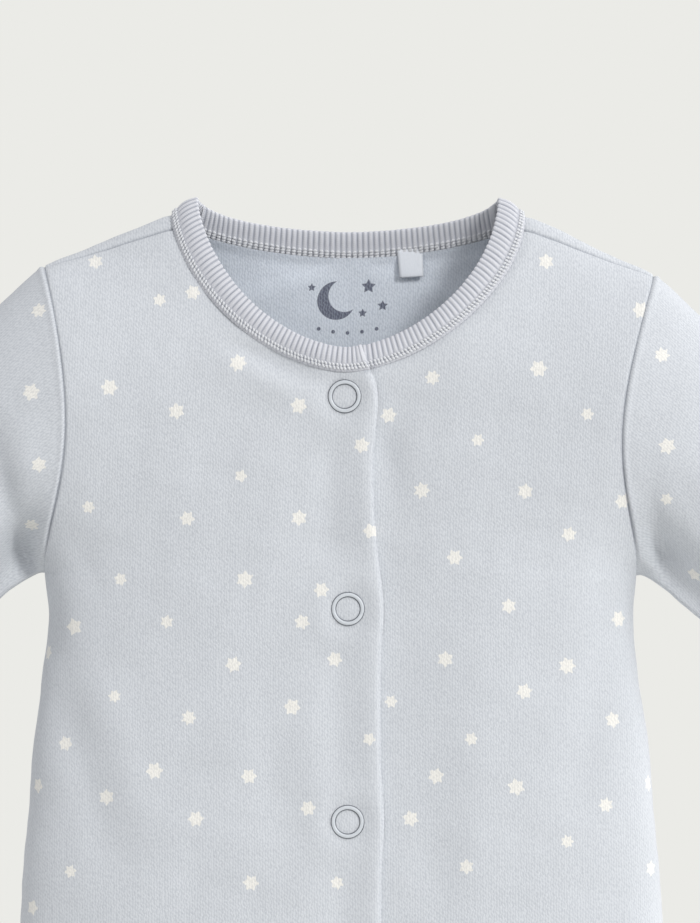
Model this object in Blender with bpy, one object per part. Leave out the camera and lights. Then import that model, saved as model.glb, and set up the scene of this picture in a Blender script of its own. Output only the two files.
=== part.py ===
"""Footed baby sleepsuit, filled out as if worn, built as its sewn pieces.

Every cloth piece is a thin wall.  Its outer points come from a few tables of
sizes, in millimetres: seen from the front, X runs to the wearer's left, Z runs
up from the top of the shoulders at the neck, and -Y is the front.  Pieces that
share a seam use the same points and the same normals there, and each edge is
drawn back from the seam by half of the sewing gap.
"""
import math
from bisect import bisect_right
from collections import namedtuple
from functools import partial

import bpy
from mathutils import Vector

# --- driving sizes, in millimetres -----------------------------------------
MM = 0.001
WALL = 1.2             # interlock jersey with its pile, one layer
BAND_WALL = 1.5        # folded rib of the neckband
SEAM_GAP = 0.3         # between two pieces that are sewn together
OVAL = 2.8             # squareness of the body's cross-section, 2 is an ellipse
NECK_OVAL = 1.7        # the same for the neckline, seen from the front
DEPTH_OVAL = 0.8       # how evenly the neckline runs from front to back

PLACKET_TOP = 9.3      # the right front's edge lies this far past the centre at the chest
PLACKET_LOW = 13.0     # and this far at the waist
PLACKET_LEAN = 92.0    # it moves across from one to the other below this height
PLACKET_LEANT = 140.0
PLACKET_SWELL = 1.2    # and it swells this much at each snap
SWELL_REACH = 14.0
LAP_BACK = 15.0        # how far the left front runs on under the right front
LAP_SINK = 2.1         # how far it lies behind the right front
LAP_RAMP = 8.0         # over this width it comes level again
LAP_CLEAR = 1.5        # and it is still sunk this far past the right front's edge
LAP_SQUEEZE = 7.0      # width that its two inner columns keep along the neck
PLACKET_END = 290.0    # the lap starts to narrow here, below the last snap
PLACKET_SHUT = 316.0   # and both fronts meet at the centre from here on

SNAP_FIRST = 66.8
SNAP_PITCH = 72.0
SNAP_COUNT = 4
SNAP_INSET = 12.4      # from the placket's edge to the centre of a snap
SNAP_OUTER = 5.75      # radii of the open ring
SNAP_INNER = 3.9
SNAP_HEIGHT = 0.95
SNAP_SHOULDER = 0.65   # height of the ring's two shoulders, as a share of the whole
SNAP_BEVEL = 0.27      # how far in from its edges they lie
SNAP_STAND = 0.4       # the ring stands this far off the cloth
SNAP_SEGMENTS = 24

BAND_END_SLANT = 0.55  # the band's end leans back from the placket's edge
RIB_PITCH = 1.5
RIB_RELIEF = 0.2       # a rib stands this far out, and a furrow lies as far in

SLEEVE_ANGLE = 39.5    # below level, where it leaves the shoulder
SLEEVE_DROOP = 9.0     # further turn down to the cuff
UNDERARM_LIFT = 2.8    # the underarm starts nearly level, and stays this much higher
SLEEVE_LENGTH = 142.0
CUFF_HALF_WIDTH = 30.0
CUFF_HALF_DEPTH = 15.0
SLEEVE_TAPER = 1.6     # above 1 the sleeve keeps its armhole's shape for longer
BEND_STEPS = 24        # short straight steps that a bent centre line is made of

# --- tables ----------------------------------------------------------------
# Neck seam and top edge of the neckband: half width, height below the origin
# at the shoulder, drop to the centre front and back, and depth of each.
Loop = namedtuple("Loop", "half top front_drop back_drop front_depth back_depth")
NECK_SEAM = Loop(60.0, 4.0, 54.0, 15.0, 24.0, 18.0)
BAND_TOP = Loop(51.3, 0.4, 49.6, 9.6, 22.4, 16.4)

# Armhole seam: distance out at the armpit, how much further out the shoulder
# tip is, how far its middle draws in, height of its centre, half height and
# half depth.
Armhole = namedtuple("Armhole", "out tip draw centre half depth")
ARMHOLE = Armhole(101.0, 3.3, 8.2, 74.6, 52.5, 25.0)

# Rows above the armpit.  neck is the turn around the neck seam (0 centre
# front, 90 shoulder, 180 centre back), down the height on the centre line, arm
# the turn around the armhole (0 armpit, 90 front, 180 shoulder tip, 270 back),
# and sag how far the row bends down between its ends.
Yoke = namedtuple("Yoke", "neck down arm sag")
FRONT_NECK = (
    Yoke(82, None, 172, 0), Yoke(66, None, 159, 1), Yoke(50, None, 146, 3), Yoke(35, None, 132, 5),
    Yoke(21, None, 118, 6), Yoke(9, None, 104, 7), Yoke(0, None, 90, 7),
)
FRONT_CHEST = (
    Yoke(None, 74, 76, 6), Yoke(None, 89, 60, 4), Yoke(None, 104, 42, 2), Yoke(None, 117, 22, 1),
)
BACK_NECK = (
    Yoke(82, None, 172, 0), Yoke(90, None, 180, 0), Yoke(103, None, 192, 0), Yoke(120, None, 206, 0),
    Yoke(140, None, 220, 0), Yoke(160, None, 233, 0), Yoke(180, None, 245, 0),
)
BACK_CHEST = (
    Yoke(None, 35, 260, 0), Yoke(None, 54, 278, 0), Yoke(None, 74, 297, 0), Yoke(None, 94, 316, 0),
    Yoke(None, 112, 336, 0),
)

# Front view below the armpit: side seam and inner leg seam from the centre,
# fork (0 one body, 1 two legs) and squareness of the section.
Width = namedtuple("Width", "down side inner fork square")
WIDTHS = (
    Width(127, 101.0, 0, 0, 2.8), Width(142, 99.8, 0, 0, 2.8), Width(160, 101.6, 0, 0, 2.8),
    Width(184, 104.9, 0, 0, 2.8), Width(217, 107.6, 0, 0, 2.8), Width(250, 110.0, 0, 0, 2.8),
    Width(280, 112.0, 0, 0.20, 2.8), Width(308, 112.6, 0, 0.60, 2.7),
    Width(335, 111.2, 0, 1.0, 2.6), Width(362, 107.0, 6, 1.0, 2.5),
    Width(395, 102.0, 15, 1.0, 2.4), Width(425, 97.5, 24, 1.0, 2.3),
    Width(452, 94.5, 31, 1.0, 2.2),
)
ANKLE = 452
BODY_ROWS = (127, 142, 160, 184, 210, 236, 262, 290, 304, 316, 326, 332, 335,
             345, 362, 384, 408, 430, ANKLE)

# Side view: half depth to the front and to the back.
Depth = namedtuple("Depth", "down front back")
DEPTHS = (
    Depth(19, 21.0, 18.0), Depth(58, 24.0, 22.0), Depth(90, 25.4, 24.0), Depth(127, 26.6, 25.2),
    Depth(184, 28.4, 27.0), Depth(235, 30.0, 28.6), Depth(285, 30.0, 29.4),
    Depth(335, 27.5, 28.0), Depth(395, 24.5, 25.0), Depth(452, 21.5, 22.5),
)

# Foot, along its bent centre line: half width, and half thickness above
# (instep) and below (heel and sole).
Foot = namedtuple("Foot", "run width above below")
FEET = (
    Foot(0, 31.75, 21.5, 22.5), Foot(16, 31.0, 21.6, 25.5), Foot(34, 30.5, 21.6, 26.5),
    Foot(52, 31.0, 21.0, 23.5), Foot(66, 31.6, 19.5, 20.0),
)
FOOT_TOE = 66.0        # from here the toe end rounds shut
FOOT_LENGTH = 104.0
FOOT_PITCH = 66.0      # the foot points this far forward from straight down
FOOT_BEND = 50.0       # length of the bend at the ankle
FOOT_OVAL = 2.2        # squareness of the foot's cross-section
FOOT_INSIDE = 55.0     # a point this far along lies inside the foot
TOE_SHARE = 0.42       # width of the toe seam, as a share of the foot's
TOE_ROUND = 2.4        # squareness of the toe end, seen from above

# Rows of the neckband's outside: height from the seam to the top edge, and the
# share of the ribs' relief there.
BandRow = namedtuple("BandRow", "height relief")
BAND_ROWS = (BandRow(0, 0), BandRow(0.24, 1), BandRow(0.9, 1), BandRow(1, 0))

# Uneven hang: sideways shift of the body with height.
Hang = namedtuple("Hang", "down shift")
HANGS = (Hang(0, 0.3), Hang(25, 0.7), Hang(75, -1.0), Hang(127, -2.1), Hang(160, -2.1),
         Hang(240, -1.85), Hang(400, -0.5), Hang(560, 0.0))
LEFT_DROP = 3.0        # the left shoulder hangs lower by this much at its tip
DROP_START = 45.0      # it starts to fall this far from the centre
DROP_WIDTH = 62.0      # and has fallen after this width
DROP_LOW = 0.4         # share of the fall that is left at the waist

# Largest soft folds: face, start and end (across, down), width, and depth
# (above 0 is a trough, below 0 a ridge).
Fold = namedtuple("Fold", "face x0 down0 x1 down1 width depth")
FOLDS = (
    Fold("front", -97, 161, -78, 224, 7, 1.8), Fold("front", -87, 152, -66, 212, 7, -0.9),
    Fold("front", 91, 136, 81, 206, 7, 1.5), Fold("front", -8, 92, -10, 124, 11, 1.3),
    Fold("front", -24, 176, -18, 216, 9, 1.2), Fold("front", 30, 205, 34, 246, 9, 0.9),
    Fold("front", -107, 128, -104, 106, 5, 1.6), Fold("front", 108, 128, 112, 112, 5, 1.4),
    Fold("front", -60, 262, -16, 306, 9, 1.8), Fold("front", 58, 268, 18, 304, 9, 1.6),
    Fold("front", -90, 392, -52, 400, 8, 1.8), Fold("front", 92, 398, 50, 390, 8, 1.8),
    Fold("front", -84, 436, -50, 430, 7, 1.3), Fold("front", 86, 430, 54, 438, 7, 1.3),
    Fold("front", -150, 118, -176, 150, 8, 1.3), Fold("front", 152, 124, 176, 152, 8, 1.3),
    Fold("back", -84, 150, -60, 214, 9, 1.6), Fold("back", 86, 144, 66, 210, 9, 1.6),
    Fold("back", -20, 120, 8, 190, 12, 1.2), Fold("back", -62, 268, -18, 312, 9, 2.0),
    Fold("back", 60, 262, 20, 310, 9, 2.0), Fold("back", -88, 384, -50, 392, 8, 1.8),
    Fold("back", 90, 390, 52, 384, 8, 1.8), Fold("back", -152, 124, -178, 152, 8, 1.3),
    Fold("back", 150, 120, 178, 150, 8, 1.3),
)
FOLD_FADE = 10.0       # folds die out towards the side seams over this depth
FOLD_END = 0.35        # depth of a fold at its ends, as a share of its middle

FRONT_COLUMNS = 9
SLEEVE_STEPS = (0, 0.08, 0.18, 0.31, 0.46, 0.62, 0.79, 0.93, 1)
FOOT_RUNS = (0, 12, 24, 36, 48, 62, 76, 88, 97, 102, 104)

# Corners of the size tab, across and down, and its distance from the back.
TAB_CORNERS = ((17.2, 17.6), (25.8, 17.0), (26.2, 24.9), (18.0, 25.4))
TAB_STAND = 0.7
BACK_HOLLOW = 1.2      # the back lies this much further in beside its centre line
TAB_WALL = 1.0

# --- plain helpers ---------------------------------------------------------


def mix(a, b, share):
    return a + (b - a) * share


def ease(share):
    share = min(max(share, 0.0), 1.0)
    return share * share * (3 - 2 * share)


def read(table, column, at, key="down"):
    """Reads a column of a table between its rows, on a smooth curve."""
    keys = [getattr(row, key) for row in table]
    values = [getattr(row, column) for row in table]
    last = len(keys) - 1
    if at <= keys[0]:
        return values[0]
    if at >= keys[last]:
        return values[last]
    low = bisect_right(keys, at) - 1
    gap = keys[low + 1] - keys[low]
    share = (at - keys[low]) / gap

    def slope(row):
        before, after = max(row - 1, 0), min(row + 1, last)
        return (values[after] - values[before]) / (keys[after] - keys[before])

    rise = values[low + 1] - values[low]
    bend_in = slope(low) * gap - rise
    bend_out = rise - slope(low + 1) * gap
    curve = share * (1 - share) * (bend_in * (1 - share) + bend_out * share)
    return values[low] + rise * share + curve


def oval(share, square):
    """Height of a squared oval at a share of its half width."""
    return max(1 - abs(share) ** square, 0.0) ** (1 / square)


# --- seam curves, on the wearer's own side (x grows outwards) ---------------


def neck_point(loop, turn):
    """Point of a neck loop; turn 0 is centre front, 90 the shoulder, 180 centre back."""
    angle = math.radians(turn)
    across = math.sin(angle)
    fall = oval(across, NECK_OVAL)
    reach = abs(math.cos(angle)) ** DEPTH_OVAL
    if turn <= 90:
        return Vector((loop.half * across, -loop.front_depth * reach, -loop.top - loop.front_drop * fall))
    return Vector((loop.half * across, loop.back_depth * reach, -loop.top - loop.back_drop * fall))


def armhole_point(turn):
    """Point of the armhole seam; turn 0 is the armpit, 90 front, 180 shoulder tip, 270 back."""
    angle = math.radians(turn)
    draw = ARMHOLE.draw * abs(math.sin(angle)) ** (3 + math.cos(angle))
    tip = ARMHOLE.tip * (1 - math.cos(angle)) / 2
    return Vector((ARMHOLE.out + tip - draw, -ARMHOLE.depth * math.sin(angle),
                   -ARMHOLE.centre - ARMHOLE.half * math.cos(angle)))


def placket_x(down):
    """Edge of the right front, past the centre; it swells a little at each snap."""
    lean = mix(PLACKET_TOP, PLACKET_LOW, ease((down - PLACKET_LEAN) / (PLACKET_LEANT - PLACKET_LEAN)))
    swell = 0.0
    for number in range(SNAP_COUNT):
        swell += PLACKET_SWELL * math.exp(-((down - SNAP_FIRST - number * SNAP_PITCH) / SWELL_REACH) ** 2)
    return (lean + swell) * lap_share(down)


def lap_share(down):
    """Width that is left of the lap, from 1 to 0 at its lower end."""
    return 1 - ease((down - PLACKET_END) / (PLACKET_SHUT - PLACKET_END))


def lap_end(down):
    """Edge of the left front under the right front, past the centre."""
    return LAP_BACK * lap_share(down)


def end_turn(past):
    """Turn around the neck seam at a distance past the centre front."""
    return math.degrees(math.asin(past / NECK_SEAM.half))


# --- rows of the body, from the outer seam inwards ---------------------------


def yoke_row(row, back, edge_turn, edge_down):
    """Seam points of a row above the armpit: armhole, neck or centre, and inner edge."""
    outer = armhole_point(row.arm)
    if row.down is not None:
        depth = read(DEPTHS, "back" if back else "front", row.down)
        anchor = Vector((0, depth if back else -depth, -row.down))
        return outer, anchor, Vector((-edge_down(row.down), anchor.y, anchor.z))
    anchor = neck_point(NECK_SEAM, row.neck)
    if row.neck == 0:
        edge = neck_point(NECK_SEAM, edge_turn)
        return outer, anchor, Vector((-edge.x, edge.y, edge.z))
    return outer, anchor, anchor


def yoke_point(row, seams, column):
    """Point of a row above the armpit; column 0 is the armhole, 1 the inner edge."""
    outer, anchor, edge = seams
    round_off = 1 - min(1.0, (outer.y / anchor.y) ** 2) if abs(anchor.y) > 1 else 0.0
    turn_end = math.acos(max(min(edge.x / outer.x, 1.0), -1.0))
    bowed = (1 - math.cos(column * turn_end)) / (1 - math.cos(turn_end))
    across = mix(outer.x, edge.x, mix(column, bowed, round_off))
    if across < anchor.x:
        past = (anchor.x - across) / (anchor.x - edge.x)
        return Vector((across, mix(anchor.y, edge.y, past), mix(anchor.z, edge.z, past)))
    share = (across - anchor.x) / (outer.x - anchor.x)
    straight = mix(anchor.y, outer.y, share)
    ratio = outer.y / anchor.y if abs(anchor.y) > 1 else 1.0
    curved = straight
    if ratio > 0:
        curved = anchor.y * (1 - (1 - ratio ** OVAL) * share ** OVAL) ** (1 / OVAL)
    sag = 4 * row.sag * share * (1 - share)
    return Vector((across, mix(curved, straight, flat_share(row)), mix(anchor.z, outer.z, share) - sag))


def body_point(down, back, edge_x, column):
    """Point of a row below the armpit; column 0 is the side seam, 1 the inner edge."""
    side = read(WIDTHS, "side", down)
    inner = read(WIDTHS, "inner", down)
    fork = read(WIDTHS, "fork", down)
    square = read(WIDTHS, "square", down)
    half = mix(side, (side - inner) / 2, fork)
    centre = side - half
    end = -edge_x if fork < 0.999 else inner
    turn_end = math.acos(max(min((end - centre) / half, 1.0), -1.0))
    share = math.cos(column * turn_end)
    depth = read(DEPTHS, "back" if back else "front", down) * oval(share, square)
    return Vector((centre + half * share, depth if back else -depth, -down))


def flat_share(row):
    """How straight a row runs from neck to armhole: straight over the shoulder."""
    if row.neck is None:
        return 0.0
    return 1 - ease(abs(row.neck - 90) / 45)


# --- the hang and the folds, in the finished place --------------------------


def fold_depth(point):
    """How far the folds push a point of the cloth inwards."""
    face = "front" if point.y < 0 else "back"
    total = 0.0
    for fold in FOLDS:
        if fold.face != face:
            continue
        along = Vector((fold.x1 - fold.x0, fold.down1 - fold.down0))
        away = Vector((point.x - fold.x0, -point.z - fold.down0))
        share = min(max(away.dot(along) / along.length_squared, 0.0), 1.0)
        off = (away - along * share).length / fold.width
        if off < 3:
            total += fold.depth * math.exp(-off * off) * mix(FOLD_END, 1, math.sin(math.pi * share))
    return total * ease(abs(point.y) / FOLD_FADE)


def place(own, side):
    """Moves a point from the wearer's own side (1 left, -1 right) to its hanging place."""
    point = Vector((own.x * side, own.y, own.z))
    sink = fold_depth(point)
    point.y += sink if point.y < 0 else -sink
    point.x += read(HANGS, "shift", -point.z)
    low = mix(1, DROP_LOW, ease((-point.z - 30) / 110))
    point.z -= LEFT_DROP * ease((point.x - DROP_START) / DROP_WIDTH) * low
    return point


# --- sheets: outer points and faces of one cloth piece ----------------------


def key_of(point):
    return tuple(round(value, 3) for value in point)


class Sheet:
    """Outer skin of one cloth piece; points that coincide are one point."""

    def __init__(self, name, wall, inside):
        self.name = name
        self.wall = wall
        self.inside = Vector(inside)
        self.points = []
        self.index = {}
        self.faces = []

    def number(self, point):
        key = key_of(point)
        if key not in self.index:
            self.index[key] = len(self.points)
            self.points.append(point)
        return self.index[key]

    def face(self, *corners):
        numbers = []
        for corner in corners:
            number = self.number(corner)
            if number not in numbers:
                numbers.append(number)
        if len(numbers) > 2:
            self.faces.append(numbers)

    def grid(self, rows, flip):
        for upper, lower in zip(rows, rows[1:]):
            for a, b, c, d in zip(upper, upper[1:], lower[1:], lower):
                if flip:
                    self.face(d, c, b, a)
                else:
                    self.face(a, b, c, d)

    def normal(self, face):
        corners = [self.points[number] for number in face]
        total = Vector((0, 0, 0))
        for before, after in zip(corners, corners[1:] + corners[:1]):
            total += before.cross(after)
        return total

    def turn_out(self):
        """Turns every face so that it points away from the inside point."""
        total = 0.0
        for face in self.faces:
            middle = sum((self.points[number] for number in face), Vector()) / len(face)
            total += self.normal(face).dot(middle - self.inside)
        if total < 0:
            self.faces = [face[::-1] for face in self.faces]


def shared_normals(sheets):
    """Normal and mitre of every point, over all the pieces that meet there."""
    sums, parts = {}, {}
    for sheet in sheets:
        for face in sheet.faces:
            normal = sheet.normal(face)
            for number in face:
                key = key_of(sheet.points[number])
                sums[key] = sums.get(key, Vector()) + normal
                parts.setdefault(key, []).append(normal.normalized())
    result = {}
    for key, total in sums.items():
        normal = total.normalized()
        facing = sum(normal.dot(part) for part in parts[key]) / len(parts[key])
        result[key] = normal / max(facing, 0.6)
    return result


def edges_of(faces):
    """Open edges of a sheet, each as its two points in the direction of its face."""
    seen = {}
    for face in faces:
        for a, b in zip(face, face[1:] + face[:1]):
            seen[(a, b)] = face
    return {edge: face for edge, face in seen.items() if edge[::-1] not in seen}


def draw_back(sheet, gap):
    """Moves the open edges into the piece, across the seam, by half of the gap."""
    inward = {}
    for (a, b), face in edges_of(sheet.faces).items():
        along = (sheet.points[b] - sheet.points[a]).normalized()
        across = sheet.normal(face).normalized().cross(along).normalized()
        inward.setdefault(a, []).append(across)
        inward.setdefault(b, []).append(across)
    moved = list(sheet.points)
    for number, ways in inward.items():
        total = sum(ways, Vector())
        if len(ways) == 2:
            total = total / max(1 + ways[0].dot(ways[1]), 0.4)
        moved[number] = sheet.points[number] + total * gap / 2
    return moved


def thicken(sheet, normals):
    """Outer and inner points and all faces of the finished wall, in millimetres."""
    outer = draw_back(sheet, SEAM_GAP)
    inner = []
    for point, moved in zip(sheet.points, outer):
        inner.append(moved - normals[key_of(point)] * sheet.wall)
    count = len(outer)
    faces = [list(face) for face in sheet.faces]
    faces += [[number + count for number in reversed(face)] for face in sheet.faces]
    for a, b in edges_of(sheet.faces):
        faces.append([b, a, a + count, b + count])
    return outer + inner, faces


def make_object(name, points, faces, finish):
    mesh = bpy.data.meshes.new(name)
    mesh.from_pydata([point * MM for point in points], [], faces)
    mesh.validate()
    mesh.shade_smooth()
    mesh.set_sharp_from_angle(angle=math.radians(50))
    mesh.materials.append(finish)
    piece = bpy.data.objects.new(name, mesh)
    bpy.context.scene.collection.objects.link(piece)
    return piece


def make_finish(name, colour, roughness, metallic=0.0):
    finish = bpy.data.materials.new(name)
    finish.use_nodes = True
    shader = finish.node_tree.nodes["Principled BSDF"]
    shader.inputs["Base Color"].default_value = (*colour, 1)
    shader.inputs["Roughness"].default_value = roughness
    shader.inputs["Metallic"].default_value = metallic
    return finish


# --- the pieces --------------------------------------------------------------


def front_sheet(name, side):
    """Front with its leg.  The left one runs on under the right one, sunk behind it."""
    under = side > 0
    sheet = Sheet(name, WALL, (55 * side, 20, -230))
    edge_down = lap_end if under else placket_x
    neck_bottom = NECK_SEAM.top + NECK_SEAM.front_drop
    edge_turn = end_turn(edge_down(neck_bottom))
    rows = []
    for number, row in enumerate(FRONT_NECK + FRONT_CHEST):
        seams = yoke_row(row, False, edge_turn, edge_down)
        edge = seams[2]
        lapped = row.neck == 0 or row.neck is None
        near = placket_x(-edge.z) + LAP_CLEAR if lapped else edge.x + LAP_SQUEEZE
        rows.append(front_row(under and number > 0, side, near, partial(yoke_point, row, seams)))
    for down in BODY_ROWS:
        near = placket_x(down) + LAP_CLEAR
        point_at = partial(body_point, down, False, edge_down(down))
        rows.append(front_row(under and down <= PLACKET_SHUT, side, near, point_at))
    sheet.grid(rows, False)
    sheet.turn_out()
    return sheet


def front_row(under, side, near, point_at):
    """Placed points of one row; under the lap two columns lie behind the right front."""
    shares = lap_columns(point_at, near) if under else even_columns()
    row = []
    for share in shares:
        own = point_at(share)
        point = place(own, side)
        if under:
            point.y += lap_sink(own)
        row.append(point)
    return row


def even_columns():
    return [number / FRONT_COLUMNS for number in range(FRONT_COLUMNS + 1)]


def lap_columns(point_at, near):
    """Column shares with the third last where the lap's ramp begins."""
    low, high = 0.0, 1.0
    for _ in range(30):
        middle = (low + high) / 2
        if point_at(middle).x > near:
            low = middle
        else:
            high = middle
    shares = [low * number / (FRONT_COLUMNS - 2) for number in range(FRONT_COLUMNS - 1)]
    return shares + [mix(low, 1, 0.5), 1.0]


def lap_sink(own):
    """How far a point of the left front lies behind the right front."""
    down = -own.z
    if own.y > 0:
        return 0.0
    past = own.x - placket_x(down) - LAP_CLEAR
    shut = ease((down - PLACKET_SHUT) / LAP_RAMP)
    return LAP_SINK * (1 - ease(past / LAP_RAMP)) * (1 - shut)


def back_sheet():
    """Back with both legs; it wraps over the shoulders to the forward seams."""
    sheet = Sheet("back", WALL, (0, -20, -230))
    for side in (-1, 1):
        rows = []
        for row in BACK_NECK + BACK_CHEST:
            seams = yoke_row(row, True, 180, lambda down: 0.0)
            rows.append([place(yoke_point(row, seams, share), side) for share in even_columns()])
        for down in BODY_ROWS:
            rows.append([place(body_point(down, True, 0.0, share), side) for share in even_columns()])
        sheet.grid(rows, side > 0)
    sheet.turn_out()
    return sheet


def sleeve_point(turn, along):
    """Point of a sleeve; along 0 is the armhole seam, 1 the cuff."""
    centre = Vector((ARMHOLE.out, 0, -ARMHOLE.centre))
    start = armhole_point(turn) - centre
    path = Vector((0, 0, 0))
    for step in range(BEND_STEPS):
        angle = math.radians(SLEEVE_ANGLE + SLEEVE_DROOP * along * (step + 0.5) / BEND_STEPS)
        path += Vector((math.cos(angle), 0, -math.sin(angle))) * SLEEVE_LENGTH * along / BEND_STEPS
    tilt = math.radians(SLEEVE_ANGLE + SLEEVE_DROOP)
    upward = Vector((math.sin(tilt), 0, math.cos(tilt)))
    angle = math.radians(turn)
    cuff = upward * -CUFF_HALF_WIDTH * math.cos(angle) + Vector((0, -CUFF_HALF_DEPTH * math.sin(angle), 0))
    lift = UNDERARM_LIFT * ((1 + math.cos(angle)) / 2) ** 2 * ease(along / 0.1)
    return centre + path + start.lerp(cuff, along ** SLEEVE_TAPER) + upward * lift * (1 - along)


def sleeve_sheet(name, side):
    """Sleeve, one tube from the armhole seam to its turned hem."""
    middle = sleeve_point(0, 0.5).lerp(sleeve_point(180, 0.5), 0.5)
    sheet = Sheet(name, WALL, (middle.x * side, 0, middle.z))
    turns = [0.0]
    turns += [row.arm for row in reversed(FRONT_NECK + FRONT_CHEST)]
    turns += [row.arm for row in (BACK_NECK + BACK_CHEST)[1:]]
    turns.append(0.0)
    rows = [[place(sleeve_point(turn, along), side) for turn in turns] for along in SLEEVE_STEPS]
    sheet.grid(rows, False)
    sheet.turn_out()
    return sheet


def foot_angle(run):
    """How far the foot's centre line points forward at a length along it."""
    return math.radians(FOOT_PITCH * ease(run / FOOT_BEND))


def foot_centre(run):
    """Centre of the foot at a length along it from the ankle seam."""
    across = (read(WIDTHS, "side", ANKLE) + read(WIDTHS, "inner", ANKLE)) / 2
    centre = Vector((across, 0, -ANKLE))
    for step in range(BEND_STEPS):
        angle = foot_angle((step + 0.5) / BEND_STEPS * run)
        centre -= Vector((0, math.sin(angle), math.cos(angle))) * run / BEND_STEPS
    return centre


def foot_point(run, turn, above):
    """Point of a foot; turn 0 is the outer side seam, 180 the inner one."""
    closing = max((run - FOOT_TOE) / (FOOT_LENGTH - FOOT_TOE), 0.0)
    narrow = mix(TOE_SHARE, 1, math.sqrt(max(1 - closing ** TOE_ROUND, 0.0)))
    half = read(FEET, "above" if above else "below", run, "run") * oval(closing, 2)
    share = math.cos(math.radians(turn))
    rise = half * oval(share, FOOT_OVAL)
    if not above:
        rise = -rise
    angle = foot_angle(run)
    across = read(FEET, "width", run, "run") * narrow * share
    return foot_centre(run) + Vector((across, -math.cos(angle) * rise, math.sin(angle) * rise))


def foot_sheet(name, side, above):
    """Foot upper or sole; both end in the toe seam."""
    middle = foot_centre(FOOT_INSIDE)
    sheet = Sheet(name, WALL, (middle.x * side, middle.y, middle.z))
    turns = [180 * number / FRONT_COLUMNS for number in range(FRONT_COLUMNS + 1)]
    rows = [[place(foot_point(run, turn, above), side) for turn in turns] for run in FOOT_RUNS]
    sheet.grid(rows, False)
    sheet.turn_out()
    return sheet


def band_columns():
    """Seam and top points of the neckband, from its right front end round to its left one."""
    right_end = end_turn(placket_x(NECK_SEAM.top + NECK_SEAM.front_drop))
    left_end = end_turn(LAP_BACK)
    turns = [-right_end] + [row.neck for row in reversed(FRONT_NECK[:-1])]
    turns += [row.neck for row in BACK_NECK[1:]]
    columns = [(turn, -1) for turn in turns]
    turns = [row.neck for row in reversed(BACK_NECK[1:-1])]
    turns += [row.neck for row in FRONT_NECK[:-1]] + [-left_end]
    columns += [(turn, 1) for turn in turns]
    result = []
    for turn, side in columns:
        pair = []
        for loop in (NECK_SEAM, BAND_TOP):
            own = neck_point(loop, abs(turn))
            own.x = math.copysign(own.x, turn)
            if loop is BAND_TOP and turn == -right_end:
                own.x *= BAND_END_SLANT
            point = place(own, side)
            if side > 0:
                point.y += lap_sink(own)
            pair.append(point)
        result.append(pair)
    return result


def band_sheet(columns):
    """Plain skin of the neckband, which gives its seam normals."""
    sheet = Sheet("neckband", BAND_WALL, (0, 0, -60))
    sheet.grid([[pair[0] for pair in columns], [pair[1] for pair in columns]], False)
    sheet.turn_out()
    return sheet


def band_sections(sheet, columns, normals):
    """Outer points, inner points and normals of each column, at the seam and the top."""
    moved = draw_back(sheet, SEAM_GAP)
    sections = []
    for pair in columns:
        outer = [moved[sheet.number(point)] for point in pair]
        normal = [normals[key_of(point)] for point in pair]
        inner = [point - way * BAND_WALL for point, way in zip(outer, normal)]
        sections.append((outer, inner, normal))
    return sections


def rib_points(left, right, share, relief):
    """Outer points of one rib's crest or furrow, from the seam to the top edge."""
    seam = left[0][0].lerp(right[0][0], share)
    top = left[0][1].lerp(right[0][1], share)
    normal = left[2][0].lerp(right[2][0], share)
    return [seam.lerp(top, row.height) + normal * relief * row.relief for row in BAND_ROWS]


def close_rim(run, near, far):
    """Faces from one stretch of a ribbed rim to the two plain points inside it."""
    half = len(run) // 2
    faces = [[a, b, near] for a, b in zip(run[:half], run[1:half + 1])]
    faces.append([run[half], far, near])
    return faces + [[a, b, far] for a, b in zip(run[half:], run[half + 1:])]


def ribbed_band(sections, finish):
    """Neckband: a plain inside, and an outside that is raised in ribs."""
    points = [section[1][level] for level in (0, 1) for section in sections]
    plain_rows = [list(range(len(sections))), list(range(len(sections), len(points)))]
    ribbed_rows = [[] for _ in BAND_ROWS]
    starts = [0]
    for left, right in zip(sections, sections[1:]):
        length = ((right[0][0] - left[0][0]).length + (right[0][1] - left[0][1]).length) / 2
        steps = 2 * max(round(length / RIB_PITCH), 1)
        for step in range(0 if starts[-1] == 0 else 1, steps + 1):
            relief = RIB_RELIEF if step % 2 else -RIB_RELIEF
            for row, point in zip(ribbed_rows, rib_points(left, right, step / steps, relief)):
                row.append(len(points))
                points.append(point)
        starts.append(starts[-1] + steps)

    faces = []
    for low, high in zip(ribbed_rows, ribbed_rows[1:]):
        faces += [[d, c, b, a] for a, b, c, d in zip(low, low[1:], high[1:], high)]
    low, high = plain_rows
    faces += [[a, b, c, d] for a, b, c, d in zip(low, low[1:], high[1:], high)]
    for number, (start, stop) in enumerate(zip(starts, starts[1:])):
        faces += close_rim(ribbed_rows[0][start:stop + 1], low[number], low[number + 1])
        upper = close_rim(ribbed_rows[-1][start:stop + 1], high[number], high[number + 1])
        faces += [face[::-1] for face in upper]
    faces.append([low[0], high[0]] + [row[0] for row in reversed(ribbed_rows)])
    faces.append([row[-1] for row in ribbed_rows] + [high[-1], low[-1]])
    return make_object("neckband", points, faces, finish)


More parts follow.
